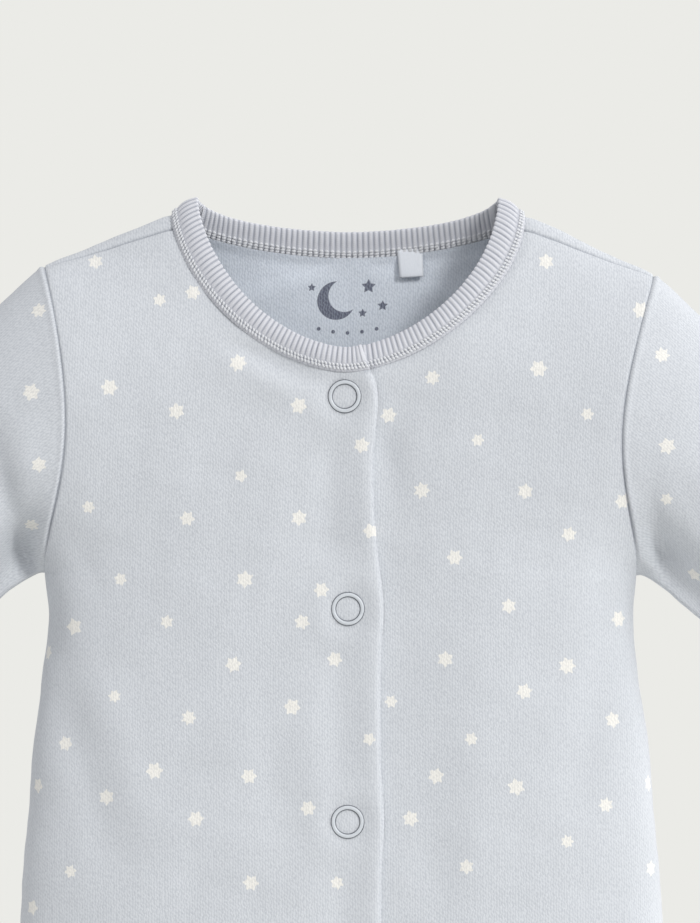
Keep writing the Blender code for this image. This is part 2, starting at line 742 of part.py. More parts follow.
def snap_ring(number, finish):
    """Open ring of one snap, shaped to the right front's outer face."""
    centre_down = SNAP_FIRST + number * SNAP_PITCH
    centre_x = placket_x(centre_down) - SNAP_INSET
    profile = ((SNAP_INNER, 0.0), (SNAP_INNER + SNAP_BEVEL, SNAP_SHOULDER),
               ((SNAP_OUTER + SNAP_INNER) / 2, 1.0),
               (SNAP_OUTER - SNAP_BEVEL, SNAP_SHOULDER), (SNAP_OUTER, 0.0))
    points, faces = [], []
    for segment in range(SNAP_SEGMENTS):
        angle = 2 * math.pi * segment / SNAP_SEGMENTS
        for radius, lift in profile:
            across = centre_x + radius * math.cos(angle)
            down = centre_down - radius * math.sin(angle)
            depth = read(DEPTHS, "front", down)
            point = place(Vector((across, -depth, -down)), 1)
            point.y -= SNAP_STAND + lift * SNAP_HEIGHT
            points.append(point)
    width = len(profile)
    for segment in range(SNAP_SEGMENTS):
        this, after = segment * width, (segment + 1) % SNAP_SEGMENTS * width
        for step in range(width):
            left, right = step, (step + 1) % width
            faces.append([this + right, after + right, after + left, this + left])
    return make_object(f"snap_ring_{number + 1}", points, faces, finish)


def size_tab(finish):
    """Small folded loop of satin ribbon, caught in the back neck seam."""
    points = []
    for across, down in TAB_CORNERS:
        behind = read(DEPTHS, "back", down) - BACK_HOLLOW - WALL - TAB_STAND
        points.append(Vector((across, behind - TAB_WALL, -down)))
        points.append(Vector((across, behind, -down)))
    faces = [[0, 2, 4, 6], [7, 5, 3, 1], [0, 1, 3, 2], [2, 3, 5, 4], [4, 5, 7, 6], [6, 7, 1, 0]]
    return make_object("size_tab", points, [face[::-1] for face in faces], finish)


def main():
    for piece in list(bpy.data.objects):
        bpy.data.objects.remove(piece)
    jersey = make_finish("jersey", (0.60, 0.64, 0.70), 0.9)
    rib = make_finish("rib", (0.60, 0.61, 0.66), 0.9)
    enamel = make_finish("enamel", (0.70, 0.74, 0.78), 0.35)
    satin = make_finish("satin", (0.66, 0.70, 0.76), 0.5)

    sheets = [front_sheet("front_right", -1), front_sheet("front_left", 1), back_sheet()]
    for side, word in ((-1, "right"), (1, "left")):
        sheets.append(sleeve_sheet(f"sleeve_{word}", side))
        sheets.append(foot_sheet(f"foot_upper_{word}", side, True))
        sheets.append(foot_sheet(f"sole_{word}", side, False))
    columns = band_columns()
    band = band_sheet(columns)
    normals = shared_normals(sheets + [band])
    for sheet in sheets:
        points, faces = thicken(sheet, normals)
        make_object(sheet.name, points, faces, jersey)
    ribbed_band(band_sections(band, columns, normals), rib)
    for number in range(SNAP_COUNT):
        snap_ring(number, enamel)
    size_tab(satin)


main()
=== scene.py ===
# %% [markdown]
# # A footed baby sleepsuit in star-print jersey
#
# This lesson dresses a finished engineering model of a baby's sleepsuit.  The
# imported model holds the true sizes: each cloth piece is a thin, plain wall.
# Here each wall is made again from the same few tables of sizes, much finer,
# so that the folds, seams, stitches, ribs and the print can be seen.
#
# The first cell loads the model.

# %% Load the model
import math
from collections import namedtuple

import bpy
import numpy as np
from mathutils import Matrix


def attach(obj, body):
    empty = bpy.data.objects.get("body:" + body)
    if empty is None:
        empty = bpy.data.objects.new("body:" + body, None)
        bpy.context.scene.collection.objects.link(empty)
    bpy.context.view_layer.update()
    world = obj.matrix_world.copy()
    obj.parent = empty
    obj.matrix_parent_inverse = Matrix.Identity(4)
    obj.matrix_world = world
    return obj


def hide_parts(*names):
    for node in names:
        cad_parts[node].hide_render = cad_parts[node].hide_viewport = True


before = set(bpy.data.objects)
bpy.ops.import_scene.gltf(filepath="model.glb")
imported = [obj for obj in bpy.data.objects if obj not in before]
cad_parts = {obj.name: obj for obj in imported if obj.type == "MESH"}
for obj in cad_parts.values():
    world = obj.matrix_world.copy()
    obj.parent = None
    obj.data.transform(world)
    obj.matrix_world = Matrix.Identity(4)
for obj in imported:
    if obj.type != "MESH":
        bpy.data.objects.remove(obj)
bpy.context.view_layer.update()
MM = 0.001
COLLECTION = bpy.context.scene.collection

# %% [markdown]
# ## The sizes of the cut
#
# A garment is drafted from a handful of measurements: the neck opening, the
# armholes, the width and depth of the body at several heights, the feet.
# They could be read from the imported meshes, but tables are easier to read and
# to change, and they give a point anywhere on the cloth and not only at the
# model's own corners.  All of them are in millimetres: X runs to the wearer's
# left, Z runs up from the shoulders, and -Y is the front.

# %% Sizes of the neck and the armholes
def rows_of(kind, *rows):
    """A table whose columns have names."""
    return tuple(kind(*row) for row in rows)


OVAL = 3.3  # squareness of the body's cross-section, 2 is an ellipse
NECK_OVAL = 1.7  # the same for the neckline, seen from the front
DEPTH_OVAL = 0.8  # how evenly the neckline runs from front to back

Loop = namedtuple("Loop", "half top front_drop back_drop front_depth back_depth")
NECK_SEAM = Loop(60, 4, 54, 15, 24, 18)
BAND_TOP = Loop(51.3, 0.4, 49.6, 9.6, 22.4, 16.4)
NECK_LOW = NECK_SEAM.top + NECK_SEAM.front_drop
BACK_LOW = NECK_SEAM.top + NECK_SEAM.back_drop

Armhole = namedtuple("Armhole", "out tip draw centre half depth")
ARMHOLE = Armhole(101, 3.3, 8.2, 74.6, 52.5, 25)

# Rows of cloth from the neck seam to the armhole, and from the centre line to
# the armhole: turn around each of the two curves, or height, and sag between.
NeckRow = namedtuple("NeckRow", "neck arm sag")
ChestRow = namedtuple("ChestRow", "down arm sag")
FRONT_NECK = rows_of(
    NeckRow, (82, 172, 0), (66, 159, 1), (50, 146, 3), (35, 132, 5), (21, 118, 6), (9, 104, 7),
    (0, 90, 7))
FRONT_CHEST = rows_of(
    ChestRow, (NECK_LOW, 90, 7), (74, 76, 6), (89, 60, 4), (104, 42, 2), (117, 22, 1), (127, 0, 0))
BACK_NECK = rows_of(
    NeckRow, (82, 172, 0), (90, 180, 0), (103, 192, 0), (120, 206, 0), (140, 220, 0), (160, 233, 0),
    (180, 245, 0))
BACK_CHEST = rows_of(
    ChestRow, (BACK_LOW, 245, 0), (35, 260, 0), (54, 278, 0), (74, 297, 0), (94, 316, 0), (112, 336, 0),
    (127, 360, 0))

print("neck", 2 * NECK_SEAM.half, "mm wide, armholes", 2 * ARMHOLE.half, "mm high")

# %% [markdown]
# Below the armholes the body is a stack of rounded sections.  A few heights are
# enough: how far the side seam and the inner leg seam are from the centre, how
# deep the body is in front and behind, and how far it drifts to one side.

# %% Sizes of the body
Width = namedtuple("Width", "down side inner fork square")
WIDTHS = rows_of(
    Width, (127, 101, 0, 0, 3.3), (142, 99.8, 0, 0, 3.3), (160, 101.6, 0, 0, 3.3),
    (184, 104.9, 0, 0, 3.3), (217, 107.6, 0, 0, 3.3), (250, 110, 0, 0, 3.3), (280, 112, 0, 0.20, 3.2),
    (308, 112.6, 0, 0.60, 3), (335, 111.2, 0, 1, 2.7), (362, 107, 6, 1, 2.5),
    (395, 102, 15, 1, 2.4), (425, 97.5, 24, 1, 2.3), (452, 94.5, 31, 1, 2.2))
ARMPIT, FORK_STARTS, ANKLE = 127, 250, 452
Depth = namedtuple("Depth", "down front back")
DEPTHS = rows_of(
    Depth, (19, 21, 18), (58, 24, 22), (90, 25.4, 24), (127, 26.6, 25.2), (184, 28.4, 27),
    (235, 30, 28.6), (285, 30, 29.4), (335, 27.5, 28), (395, 24.5, 25), (452, 21.5, 22.5))

Hang = namedtuple("Hang", "down shift")
HANGS = rows_of(
    Hang, (0, 0.3), (25, 0.7), (75, -1), (127, -2.1), (160, -2.1), (240, -1.85), (400, -0.5),
    (560, 0))
LEFT_DROP, DROP_START, DROP_WIDTH = 3, 45, 62  # the left shoulder hangs lower
DROP_LOW, DROP_FADES, DROP_FADED = 0.4, 30, 140  # by less further down
WALL = 1.2
print("waist", 2 * WIDTHS[5].side, "mm wide")

# %% [markdown]
# The fronts close with a placket: its edge leans a little, swells at each snap
# and ends above the crotch.  The sleeves and the feet have sizes of their own.

# %% Sizes of the placket, sleeves and feet
PLACKET_TOP, PLACKET_LOW = 10.5, 13.4  # right front's edge, past the centre
PLACKET_LEAN, PLACKET_LEANT = 92, 140
PLACKET_SWELL, SWELL_REACH = 1.2, 14
PLACKET_NIP, NIP_REACH = 3.4, 4.5  # the neck seam draws the edge in
PLACKET_END, PLACKET_SHUT = 290, 316
LAP_BACK, LAP_SINK, LAP_RAMP, LAP_CLEAR = 15, 2.7, 34, 0.4
SNAP_FIRST, SNAP_PITCH, SNAP_COUNT, SNAP_INSET = 66.8, 72, 4, 12.4
SNAPS = [SNAP_FIRST + number * SNAP_PITCH for number in range(SNAP_COUNT)]

SLEEVE_ANGLE, SLEEVE_DROOP, UNDERARM_LIFT, SLEEVE_LENGTH = 39.5, 9, 2.8, 142
CUFF_HALF_WIDTH, CUFF_HALF_DEPTH, SLEEVE_TAPER = 30, 15, 1.6
TUCK, TUCK_TURN, TUCK_WIDTH = 0.68, 30, 27  # the hollow under the arm
TUCK_STARTS, TUCK_ENDS = 0.10, 0.75
NOTCH_LIFT, NOTCH_PEAK, NOTCH_TURN = 1.8, 0.028, 42  # the underarm starts off level

Foot = namedtuple("Foot", "run width above below")
FEET = rows_of(
    Foot, (0, 31.75, 21.5, 22.5), (16, 31, 21.6, 25.5), (34, 30.5, 21.6, 26.5), (52, 31, 21, 23.5),
    (66, 31.6, 19.5, 20))
FOOT_TOE, FOOT_LENGTH, FOOT_PITCH, FOOT_BEND = 66, 104, 66, 50
FOOT_OVAL, TOE_SHARE, TOE_ROUND = 2.2, 0.42, 2.4
print(SNAP_COUNT, "snaps", SNAP_PITCH, "mm apart, sleeves", SLEEVE_LENGTH, "mm long")

# %% [markdown]
# ## Folds and creases
#
# Knitted cotton that hangs filled out keeps a few broad, soft folds, and each
# pull, from a snap, an armpit or the crotch, adds finer ones.  A cloth
# simulation could find folds, but it would also move the seams.  So each fold
# is laid one by one, as a soft trough or ridge along a short line, and no two
# have the same length, depth or direction.  The first table holds the largest
# folds, which the plain walls have too; the second adds the finer creases.

# %% Folds and creases
Fold = namedtuple("Fold", "face x0 down0 x1 down1 width depth")


def folds_on(face, *rows):
    """Folds of one face: from where to where they run, and how wide and deep they are."""
    return rows_of(Fold, *((face, *row) for row in rows))


FOLDS = folds_on(
    "front", (-97, 161, -78, 224, 7, 1.8), (-87, 152, -66, 212, 7, -0.9), (91, 136, 81, 206, 7, 1.5),
    (-8, 92, -10, 124, 11, 1.3), (-24, 176, -18, 216, 9, 1.2), (30, 205, 34, 246, 9, 0.9),
    (-107, 128, -104, 106, 5, 1.6), (108, 128, 112, 112, 5, 1.4), (-60, 262, -16, 306, 9, 1.8),
    (58, 268, 18, 304, 9, 1.6), (-90, 392, -52, 400, 8, 1.8), (92, 398, 50, 390, 8, 1.8),
    (-84, 436, -50, 430, 7, 1.3), (86, 430, 54, 438, 7, 1.3), (-150, 118, -176, 150, 8, 1.3),
    (152, 124, 176, 152, 8, 1.3)) + folds_on(
    "back", (-84, 150, -60, 214, 9, 1.6), (86, 144, 66, 210, 9, 1.6), (-20, 120, 8, 190, 12, 1.2),
    (-62, 268, -18, 312, 9, 2), (60, 262, 20, 310, 9, 2), (-88, 384, -50, 392, 8, 1.8),
    (90, 390, 52, 384, 8, 1.8), (-152, 124, -178, 152, 8, 1.3), (150, 120, 178, 150, 8, 1.3))
CREASES = folds_on(
    "front", (-38, 49.5, -8.5, 61, 3.9, 3), (-30, 61, -15, 69, 4.5, -0.6),
    (14, 80, 20, 106, 6, 0.9), (103, 117, 134, 144, 12, 3.5), (102, 125, 109, 129, 1.9, 1.2),
    (101, 120, 113, 127, 2.2, -0.8), (107, 112, 116, 128, 4, 1.8), (-122, 78, -99, 152, 6, 7),
    (-102.5, 110, -102, 134, 2.2, -1), (-110, 114, -103, 132, 2.8, 2.4), (103, 110, 118, 122, 3.2, 1.1),
    (104, 118, 112, 124, 2.4, -0.5), (-104, 108, -116, 120, 3.2, 1), (-110, 96, -136, 112, 6, 0.8),
    (110, 92, 136, 118, 6, 0.7), (96, 128, 86, 150, 4.5, 0.6), (14, 76, 15, 93, 5, 0.9),
    (-16, 150, -30, 168, 6, 0.35), (-2, 148, -14, 160, 4, 0.3), (-16, 76, -34, 92, 6, -0.3),
    (40, 112, 52, 142, 10, 0.4), (-58, 96, -66, 140, 11, 0.4), (60, 168, 52, 232, 9, 0.5),
    (-46, 214, -54, 262, 8, 0.6), (-92, 112, -80, 136, 4, 0.5), (93, 114, 84, 138, 4, 0.5),
    (-118, 104, -136, 128, 4, 0.7), (120, 108, 140, 130, 4, 0.7), (-30, 300, -62, 330, 5, 0.8),
    (26, 306, 58, 338, 5, 0.8), (-14, 268, -30, 282, 4, 0.4), (12, 322, 34, 352, 4, 0.7),
    (-78, 410, -60, 418, 4, 0.7), (84, 414, 62, 420, 4, 0.7), (-180, 152, -196, 172, 4, 0.5),
    (184, 158, 198, 176, 4, 0.5)) + folds_on(
    "back", (-40, 60, -10, 52, 10, 0.8), (44, 66, 14, 54, 10, 0.7), (-90, 112, -66, 140, 5, 0.7),
    (92, 116, 70, 146, 5, 0.7), (-34, 300, -66, 332, 5, 0.9), (30, 304, 60, 340, 5, 0.9),
    (-44, 230, -36, 276, 9, 0.7), (48, 222, 36, 270, 9, 0.6), (-80, 408, -58, 414, 4, 0.7),
    (82, 412, 60, 422, 4, 0.7), (-118, 100, -140, 122, 5, 0.8), (116, 98, 136, 124, 5, 0.8))
FOLD_FADE = 10  # folds die out towards the side seams over this depth
FOLD_END = 0.35  # depth of a fold at its ends, as a share of its middle
FOLD_REACH = 3  # widths beyond which a fold no longer counts
print(len(FOLDS), "large folds and", len(CREASES), "creases")

# %% [markdown]
# ## Points of the cloth
#
# The next helpers turn the tables into points.  They work on whole arrays at
# once, because a loop over a hundred thousand points would take minutes.
# `read` runs a smooth curve through a table's rows, as a pattern cutter runs a
# bendy ruler through a few marks.

# %% Curves
def mix(a, b, share):
    return a + (b - a) * share


def ease(share):
    share = np.clip(share, 0.0, 1.0)
    return share * share * (3 - 2 * share)


def bell(off, width):
    return np.exp(-(off / width) ** 2)


def smooth_curve(keys, values, at):
    """Values at any place along the keys, on a smooth curve through all of them."""
    keys, values = np.asarray(keys, float), np.asarray(values, float)
    before = np.maximum(np.arange(len(keys)) - 1, 0)
    after = np.minimum(np.arange(len(keys)) + 1, len(keys) - 1)
    slopes = (values[after] - values[before]) / (keys[after] - keys[before])
    at = np.clip(at, keys[0], keys[-1])
    low = np.clip(np.searchsorted(keys, at, "right") - 1, 0, len(keys) - 2)
    gap = keys[low + 1] - keys[low]
    share = (at - keys[low]) / gap
    rise = values[low + 1] - values[low]
    bend_in = slopes[low] * gap - rise
    bend_out = rise - slopes[low + 1] * gap
    bend = share * (1 - share) * (bend_in * (1 - share) + bend_out * share)
    return values[low] + rise * share + bend


def read(table, column, at, key="down"):
    return smooth_curve([getattr(row, key) for row in table],
                        [getattr(row, column) for row in table], at)


def between(table, column, position):
    """Value between the rows of a table; position counts the rows from 0."""
    return smooth_curve(range(len(table)), [getattr(row, column) for row in table], position)


def oval(share, square):
    return np.maximum(1 - np.abs(share) ** square, 0.0) ** (1 / square)


def xyz(x, y, z):
    return np.stack(np.broadcast_arrays(x, y, z), -1).astype(float)


print("the body is", round(float(read(WIDTHS, "side", ANKLE)) * 2), "mm wide at the ankles")

# %% [markdown]
# Three lines hold the pieces together: the neck seam, the armholes and the
# placket's edge.  Each is a formula of an angle or a height, so that pieces on
# both sides of a seam can ask for the very same point.

# %% Seam lines
def neck_point(loop, turn):
    """Point of a neck loop: turn 0 is centre front, 90 the shoulder, 180 centre back."""
    across = np.sin(np.radians(turn))
    fall = oval(across, NECK_OVAL)
    reach = np.where(turn < 0, 1.0, np.abs(np.cos(np.radians(turn))) ** DEPTH_OVAL)
    front = np.abs(turn) <= 90
    return xyz(loop.half * across,
               np.where(front, -loop.front_depth, loop.back_depth) * reach,
               -loop.top - np.where(front, loop.front_drop, loop.back_drop) * fall)


def armhole_point(turn):
    """Point of the armhole seam: 0 is the armpit, 90 front, 180 shoulder tip, 270 back."""
    angle = np.radians(turn)
    draw = ARMHOLE.draw * np.abs(np.sin(angle)) ** (3 + np.cos(angle))
    tip = ARMHOLE.tip * (1 - np.cos(angle)) / 2
    return xyz(ARMHOLE.out + tip - draw, -ARMHOLE.depth * np.sin(angle),
               -ARMHOLE.centre - ARMHOLE.half * np.cos(angle))


def lap_share(down):
    return 1 - ease((down - PLACKET_END) / (PLACKET_SHUT - PLACKET_END))


def placket_x(down):
    """Edge of the right front, past the centre; it swells a little at each snap."""
    lean = mix(PLACKET_TOP, PLACKET_LOW, ease((down - PLACKET_LEAN) / (PLACKET_LEANT - PLACKET_LEAN)))
    swell = sum(PLACKET_SWELL * bell(down - snap, SWELL_REACH) for snap in SNAPS)
    nip = PLACKET_NIP * np.exp(-np.maximum(down - NECK_LOW, 0) / NIP_REACH)
    return (lean + swell - nip) * lap_share(down)


def lap_end(down):
    return LAP_BACK * lap_share(down)


RIGHT_END = math.degrees(math.asin(placket_x(NECK_LOW) / NECK_SEAM.half))
LEFT_END = math.degrees(math.asin(LAP_BACK / NECK_SEAM.half))
print(f"the band ends {RIGHT_END:.1f} and {LEFT_END:.1f} degrees past the centre front")

# %% [markdown]
# ## Hanging the garment
#
# Every point is worked out on a straight garment first and moved afterwards:
# folds press it in, the column between the snaps drifts a little to one side,
# and the wearer's left shoulder hangs lower.  Moving all the pieces with the
# same function keeps them together along their seams.

# %% Hang and folds
def fold_depth(points, folds):
    """How far the folds push each point of the cloth inwards."""
    x, y, down = points[..., 0], points[..., 1], -points[..., 2]
    total = np.zeros(x.shape)
    for fold in folds:
        run_x, run_down = fold.x1 - fold.x0, fold.down1 - fold.down0
        length = math.hypot(run_x, run_down)
        along = ((x - fold.x0) * run_x + (down - fold.down0) * run_down) / length ** 2
        along = np.clip(along, 0, 1)
        off = np.hypot(x - fold.x0 - run_x * along, down - fold.down0 - run_down * along) / fold.width
        near = (off < FOLD_REACH) & ((y < 0) == (fold.face == "front"))
        depth = fold.depth * np.exp(-off * off) * mix(FOLD_END, 1, np.sin(math.pi * along))
        total += np.where(near, depth, 0.0)
    return total * ease(np.abs(y) / FOLD_FADE)


def place(own, side):
    """Moves points from the wearer's own side (1 left, -1 right) to where they hang."""
    x, y, z = own[..., 0] * side, own[..., 1], own[..., 2]
    sink = fold_depth(xyz(x, y, z), FOLDS + CREASES)
    y = y - np.sign(y) * sink
    x = x + read(HANGS, "shift", -z)
    low = mix(1, DROP_LOW, ease((-z - DROP_FADES) / (DROP_FADED - DROP_FADES)))
    z = z - LEFT_DROP * ease((x - DROP_START) / DROP_WIDTH) * low
    return xyz(x, y, z)


print("neck seam at the right shoulder:", place(neck_point(NECK_SEAM, np.array([90.0])), -1).round(1))

# %% [markdown]
# ## Rows and columns of each cloth piece
#
# Every piece is a grid: rows run from an outer seam to an inner edge, and
# columns run down the garment.  The spacing is 1.7 mm where the cloth shows
# most, finer beside the seams, where the cloth rolls in, and coarser on the
# legs.  Front and back use the same rows, so their side seams meet point for
# point.

# %% Spacing of the grid
COLUMN_PITCH, ROW_PITCH, LEG_PITCH = 1.7, 1.8, 4
WIDEST_ROW = 125
EDGE_STEPS = (0, 0.2, 0.45, 0.8, 1.3, 2)  # distances of the columns nearest to a seam
FIRST_ROWS = (0, 0.03, 0.07, 0.12)  # places of the rows next to the shoulder seam


def column_shares():
    """Shares along a row, fine beside its two ends."""
    ends = np.array(EDGE_STEPS) / WIDEST_ROW
    count = round(WIDEST_ROW / COLUMN_PITCH)
    inner = np.linspace(ends[-1], 1 - ends[-1], count)[1:-1]
    return np.concatenate([ends, inner, 1 - ends[::-1]])


COLUMNS = column_shares()
NECK_ROWS, CHEST_ROWS = 49, 41
LINE_POINTS = 401  # of a row, before it is divided
ROW_SHARES = np.concatenate([FIRST_ROWS, np.linspace(0, len(FRONT_NECK) - 1, NECK_ROWS)[2:]])
CHEST_SHARES = np.linspace(0, 1, CHEST_ROWS)[1:]
BODY_DOWN = np.concatenate([np.arange(ARMPIT + ROW_PITCH, FORK_STARTS, ROW_PITCH),
                            np.arange(FORK_STARTS, ANKLE - 3, LEG_PITCH),
                            ANKLE - np.array(EDGE_STEPS[::-1])])
DENSE = np.linspace(0, 1, LINE_POINTS)
print(len(COLUMNS), "columns,", len(ROW_SHARES) + len(CHEST_SHARES) + len(BODY_DOWN), "rows")

# %% [markdown]
# A row above the armpit runs from the armhole to the neck or the centre.  Over
# the shoulder it is straight, and further down it is rounded like the body, so
# each row is a mix of the two.  It is first drawn much too finely and then
# divided evenly along its length.

# %% Rows from armhole to edge
TINY = 1e-9


def running(steps):
    """Running length along each row of steps, from 0."""
    lengths = np.linalg.norm(steps, axis=2)
    return np.concatenate([np.zeros((len(lengths), 1)), np.cumsum(lengths, 1)], 1)


def even_lengths(dense, shares):
    """Resamples each row of a dense grid at set shares of its length."""
    run = running(np.diff(dense, axis=1))
    rows = []
    for line, length in zip(dense, run):
        at = shares * length[-1]
        rows.append(np.stack([np.interp(at, length, line[:, axis]) for axis in range(3)], -1))
    return np.array(rows)


def yoke_points(outer, anchor, edge, sag, flat):
    """Dense points of rows above the armpit, from the armhole to the inner edge."""
    share = DENSE[None, :]
    outer, anchor, edge = outer[:, None], anchor[:, None], edge[:, None]
    depth = np.abs(anchor[..., 1])
    ratio = outer[..., 1] / np.where(depth > 1, anchor[..., 1], 1)
    ratio = np.where(depth > 1, ratio, 1.0)
    round_off = (1 - np.minimum(1, ratio ** 2)) * ease(depth - 1)
    turn_end = np.arccos(np.clip(edge[..., 0] / outer[..., 0], -1, 1))
    bowed = (1 - np.cos(share * turn_end)) / np.maximum(1 - np.cos(turn_end), TINY)
    x = mix(outer[..., 0], edge[..., 0], mix(share, bowed, round_off))
    part = (x - anchor[..., 0]) / (outer[..., 0] - anchor[..., 0])
    inside = np.clip(part, 0, 1)
    straight = mix(anchor[..., 1], outer[..., 1], inside)
    swell = np.maximum(1 - (1 - np.maximum(ratio, 0) ** OVAL) * inside ** OVAL, 0) ** (1 / OVAL)
    curved = np.where(ratio > -TINY, anchor[..., 1] * swell, straight)
    y = mix(curved, straight, flat[:, None])
    z = mix(anchor[..., 2], outer[..., 2], inside) - 4 * sag[:, None] * inside * (1 - inside)
    past = np.clip((anchor[..., 0] - x) / np.maximum(anchor[..., 0] - edge[..., 0], TINY), 0, 1)
    beyond = part < 0
    y = np.where(beyond, mix(anchor[..., 1], edge[..., 1], past), y)
    z = np.where(beyond, mix(anchor[..., 2], edge[..., 2], past), z)
    return xyz(x, y, z)


print("a row is drawn with", len(DENSE), "points and keeps", len(COLUMNS))

# %% [markdown]
# The upper rows end on the neck seam.  The rows below its lowest point end on
# the centre of the back, or on a front's edge, which lies past the centre.

# %% Rows to the neck and to the centre
FLAT_TURN = 45  # degrees from the shoulder at which a row is no longer straight
CORNER_FADE = 16  # the neck's corner draws the rows below it over this height


def neck_rows(table, end_turn):
    """Rows that end on the neck seam; the last one ends at end_turn, past the centre."""
    turns = smooth_curve(range(len(table)), [row.neck for row in table[:-1]] + [end_turn], ROW_SHARES)
    outer = armhole_point(between(table, "arm", ROW_SHARES))
    edge = neck_point(NECK_SEAM, turns)
    flat = 1 - ease(np.abs(turns - 90) / FLAT_TURN)
    return yoke_points(outer, edge, edge, between(table, "sag", ROW_SHARES), flat)


def chest_rows(table, back, end_turn, edge_down):
    """Rows between the neck seam's lowest point and the armpit."""
    position = CHEST_SHARES * (len(table) - 1)
    down = between(table, "down", position)
    depth = read(DEPTHS, "back" if back else "front", down) * (1 if back else -1)
    corner = neck_point(NECK_SEAM, end_turn)
    fade = 1 - ease((down - table[0].down) / CORNER_FADE)
    depth = depth + (corner[1] - depth[0]) * fade
    edge = xyz(-edge_down(down), depth, -down + (corner[2] + table[0].down) * fade)
    anchor = mix(xyz(0.0, depth, -down), edge, fade[:, None])
    outer = armhole_point(between(table, "arm", position))
    return yoke_points(outer, anchor, edge, between(table, "sag", position), np.zeros(len(down)))


print("rows of the neck:", neck_rows(FRONT_NECK, -RIGHT_END).shape)

# %% [markdown]
# Below the armpit a row is a quarter of a squarish oval.  At the fork the oval
# parts in two: its middle moves out from the centre line to the middle of a
# leg, and the row ends on the inner leg seam instead of on the centre.

# %% Rows below the armpit
PARTED = 0.999  # share of the fork from which a row belongs to one leg


def body_rows(back, edge_down):
    """Rows below the armpit, which part into two legs at the fork."""
    down = BODY_DOWN[:, None]
    side, inner, fork, square = (read(WIDTHS, column, down) for column in ("side", "inner", "fork", "square"))
    half = mix(side, (side - inner) / 2, fork)
    end = np.where(fork < PARTED, -edge_down(down), inner)
    turn_end = np.arccos(np.clip((end - side + half) / half, -1, 1))
    share = np.cos(DENSE[None, :] * turn_end)
    depth = read(DEPTHS, "back" if back else "front", down) * oval(share, square)
    return xyz(side - half + half * share, depth * (1 if back else -1), -down)


def body_grid(back, end_turn, edge_down):
    neck, chest = (BACK_NECK, BACK_CHEST) if back else (FRONT_NECK, FRONT_CHEST)
    dense = np.concatenate([neck_rows(neck, end_turn), chest_rows(chest, back, end_turn, edge_down),
                            body_rows(back, edge_down)])
    return even_lengths(dense, COLUMNS)


print("right front:", body_grid(False, -RIGHT_END, placket_x).shape)

# %% [markdown]
# The right front laps over the left one, so the left one must lie behind it.
# It sinks there by about two walls and comes level again over the next few
# centimetres, so that no step shows beside the right front's edge.
#
# Each point also gets a place on the flat cut, which carries the knit and the
# print.  Across, it is the length along its row; along, it is the height, or
# the distance along the sleeve.

# %% Lap and flat cut
LAP_SHUTS = 8  # below the placket the two fronts come together over this height


def lap_sink(own):
    """How far a point of the left front lies behind the right front."""
    down = -own[..., 2]
    past = own[..., 0] - placket_x(down) - LAP_CLEAR
    shut = ease((down - PLACKET_SHUT) / LAP_SHUTS)
    under = LAP_SINK * (1 - ease(past / LAP_RAMP)) * (1 - shut)
    return np.where(own[..., 1] > 0, 0.0, under)


def flat_cut(own, side, way=(0, 0, -1), start=-1):
    """Place on the flat cloth, whose wales run along `way`, measured from the column `start`.

    The last column keeps its place across the garment; any other one lies at 0.
    """
    way = np.array(way, float)
    steps = np.diff(own, axis=1)
    run = running(steps - (steps @ way)[..., None] * way)
    first = own[:, start, 0] if start < 0 else 0 * own[:, 0, 0]
    across = (first + run[:, start])[:, None] - run
    return np.stack([across * side, own @ way], -1)


def body_flat(own, side):
    """Below the fork the cloth is measured from the side seam, or the print would shear."""
    flat = flat_cut(own, side)
    forked = own[:, 0, 2] < -FORK_STARTS
    last = np.argmax(forked) - 1
    outer = flat[:, 0, 0] * side - own[:, 0, 0]
    flat[forked, :, 0] += ((outer[last] - outer[forked]) * side)[:, None]
    return flat


print("the left front sinks by up to", LAP_SINK, "mm")

# %% [markdown]
# A sleeve starts on the armhole seam and droops a little on its way to the
# cuff, so its middle is walked in short steps, each turned a little further.
# Around that middle the armhole's outline changes into the cuff's oval.  The
# cloth under the arm has room to spare: it sinks into a soft hollow there, and
# right at the armpit it starts off level before it turns down.

# %% Sleeves
BEND_STEPS = 24
LIFT_STARTS = 0.1  # share of the sleeve over which the underarm's lift begins


def from_armpit(turns):
    """Degrees between a place around the armhole and the armpit."""
    return np.abs((turns + 180) % 360 - 180)


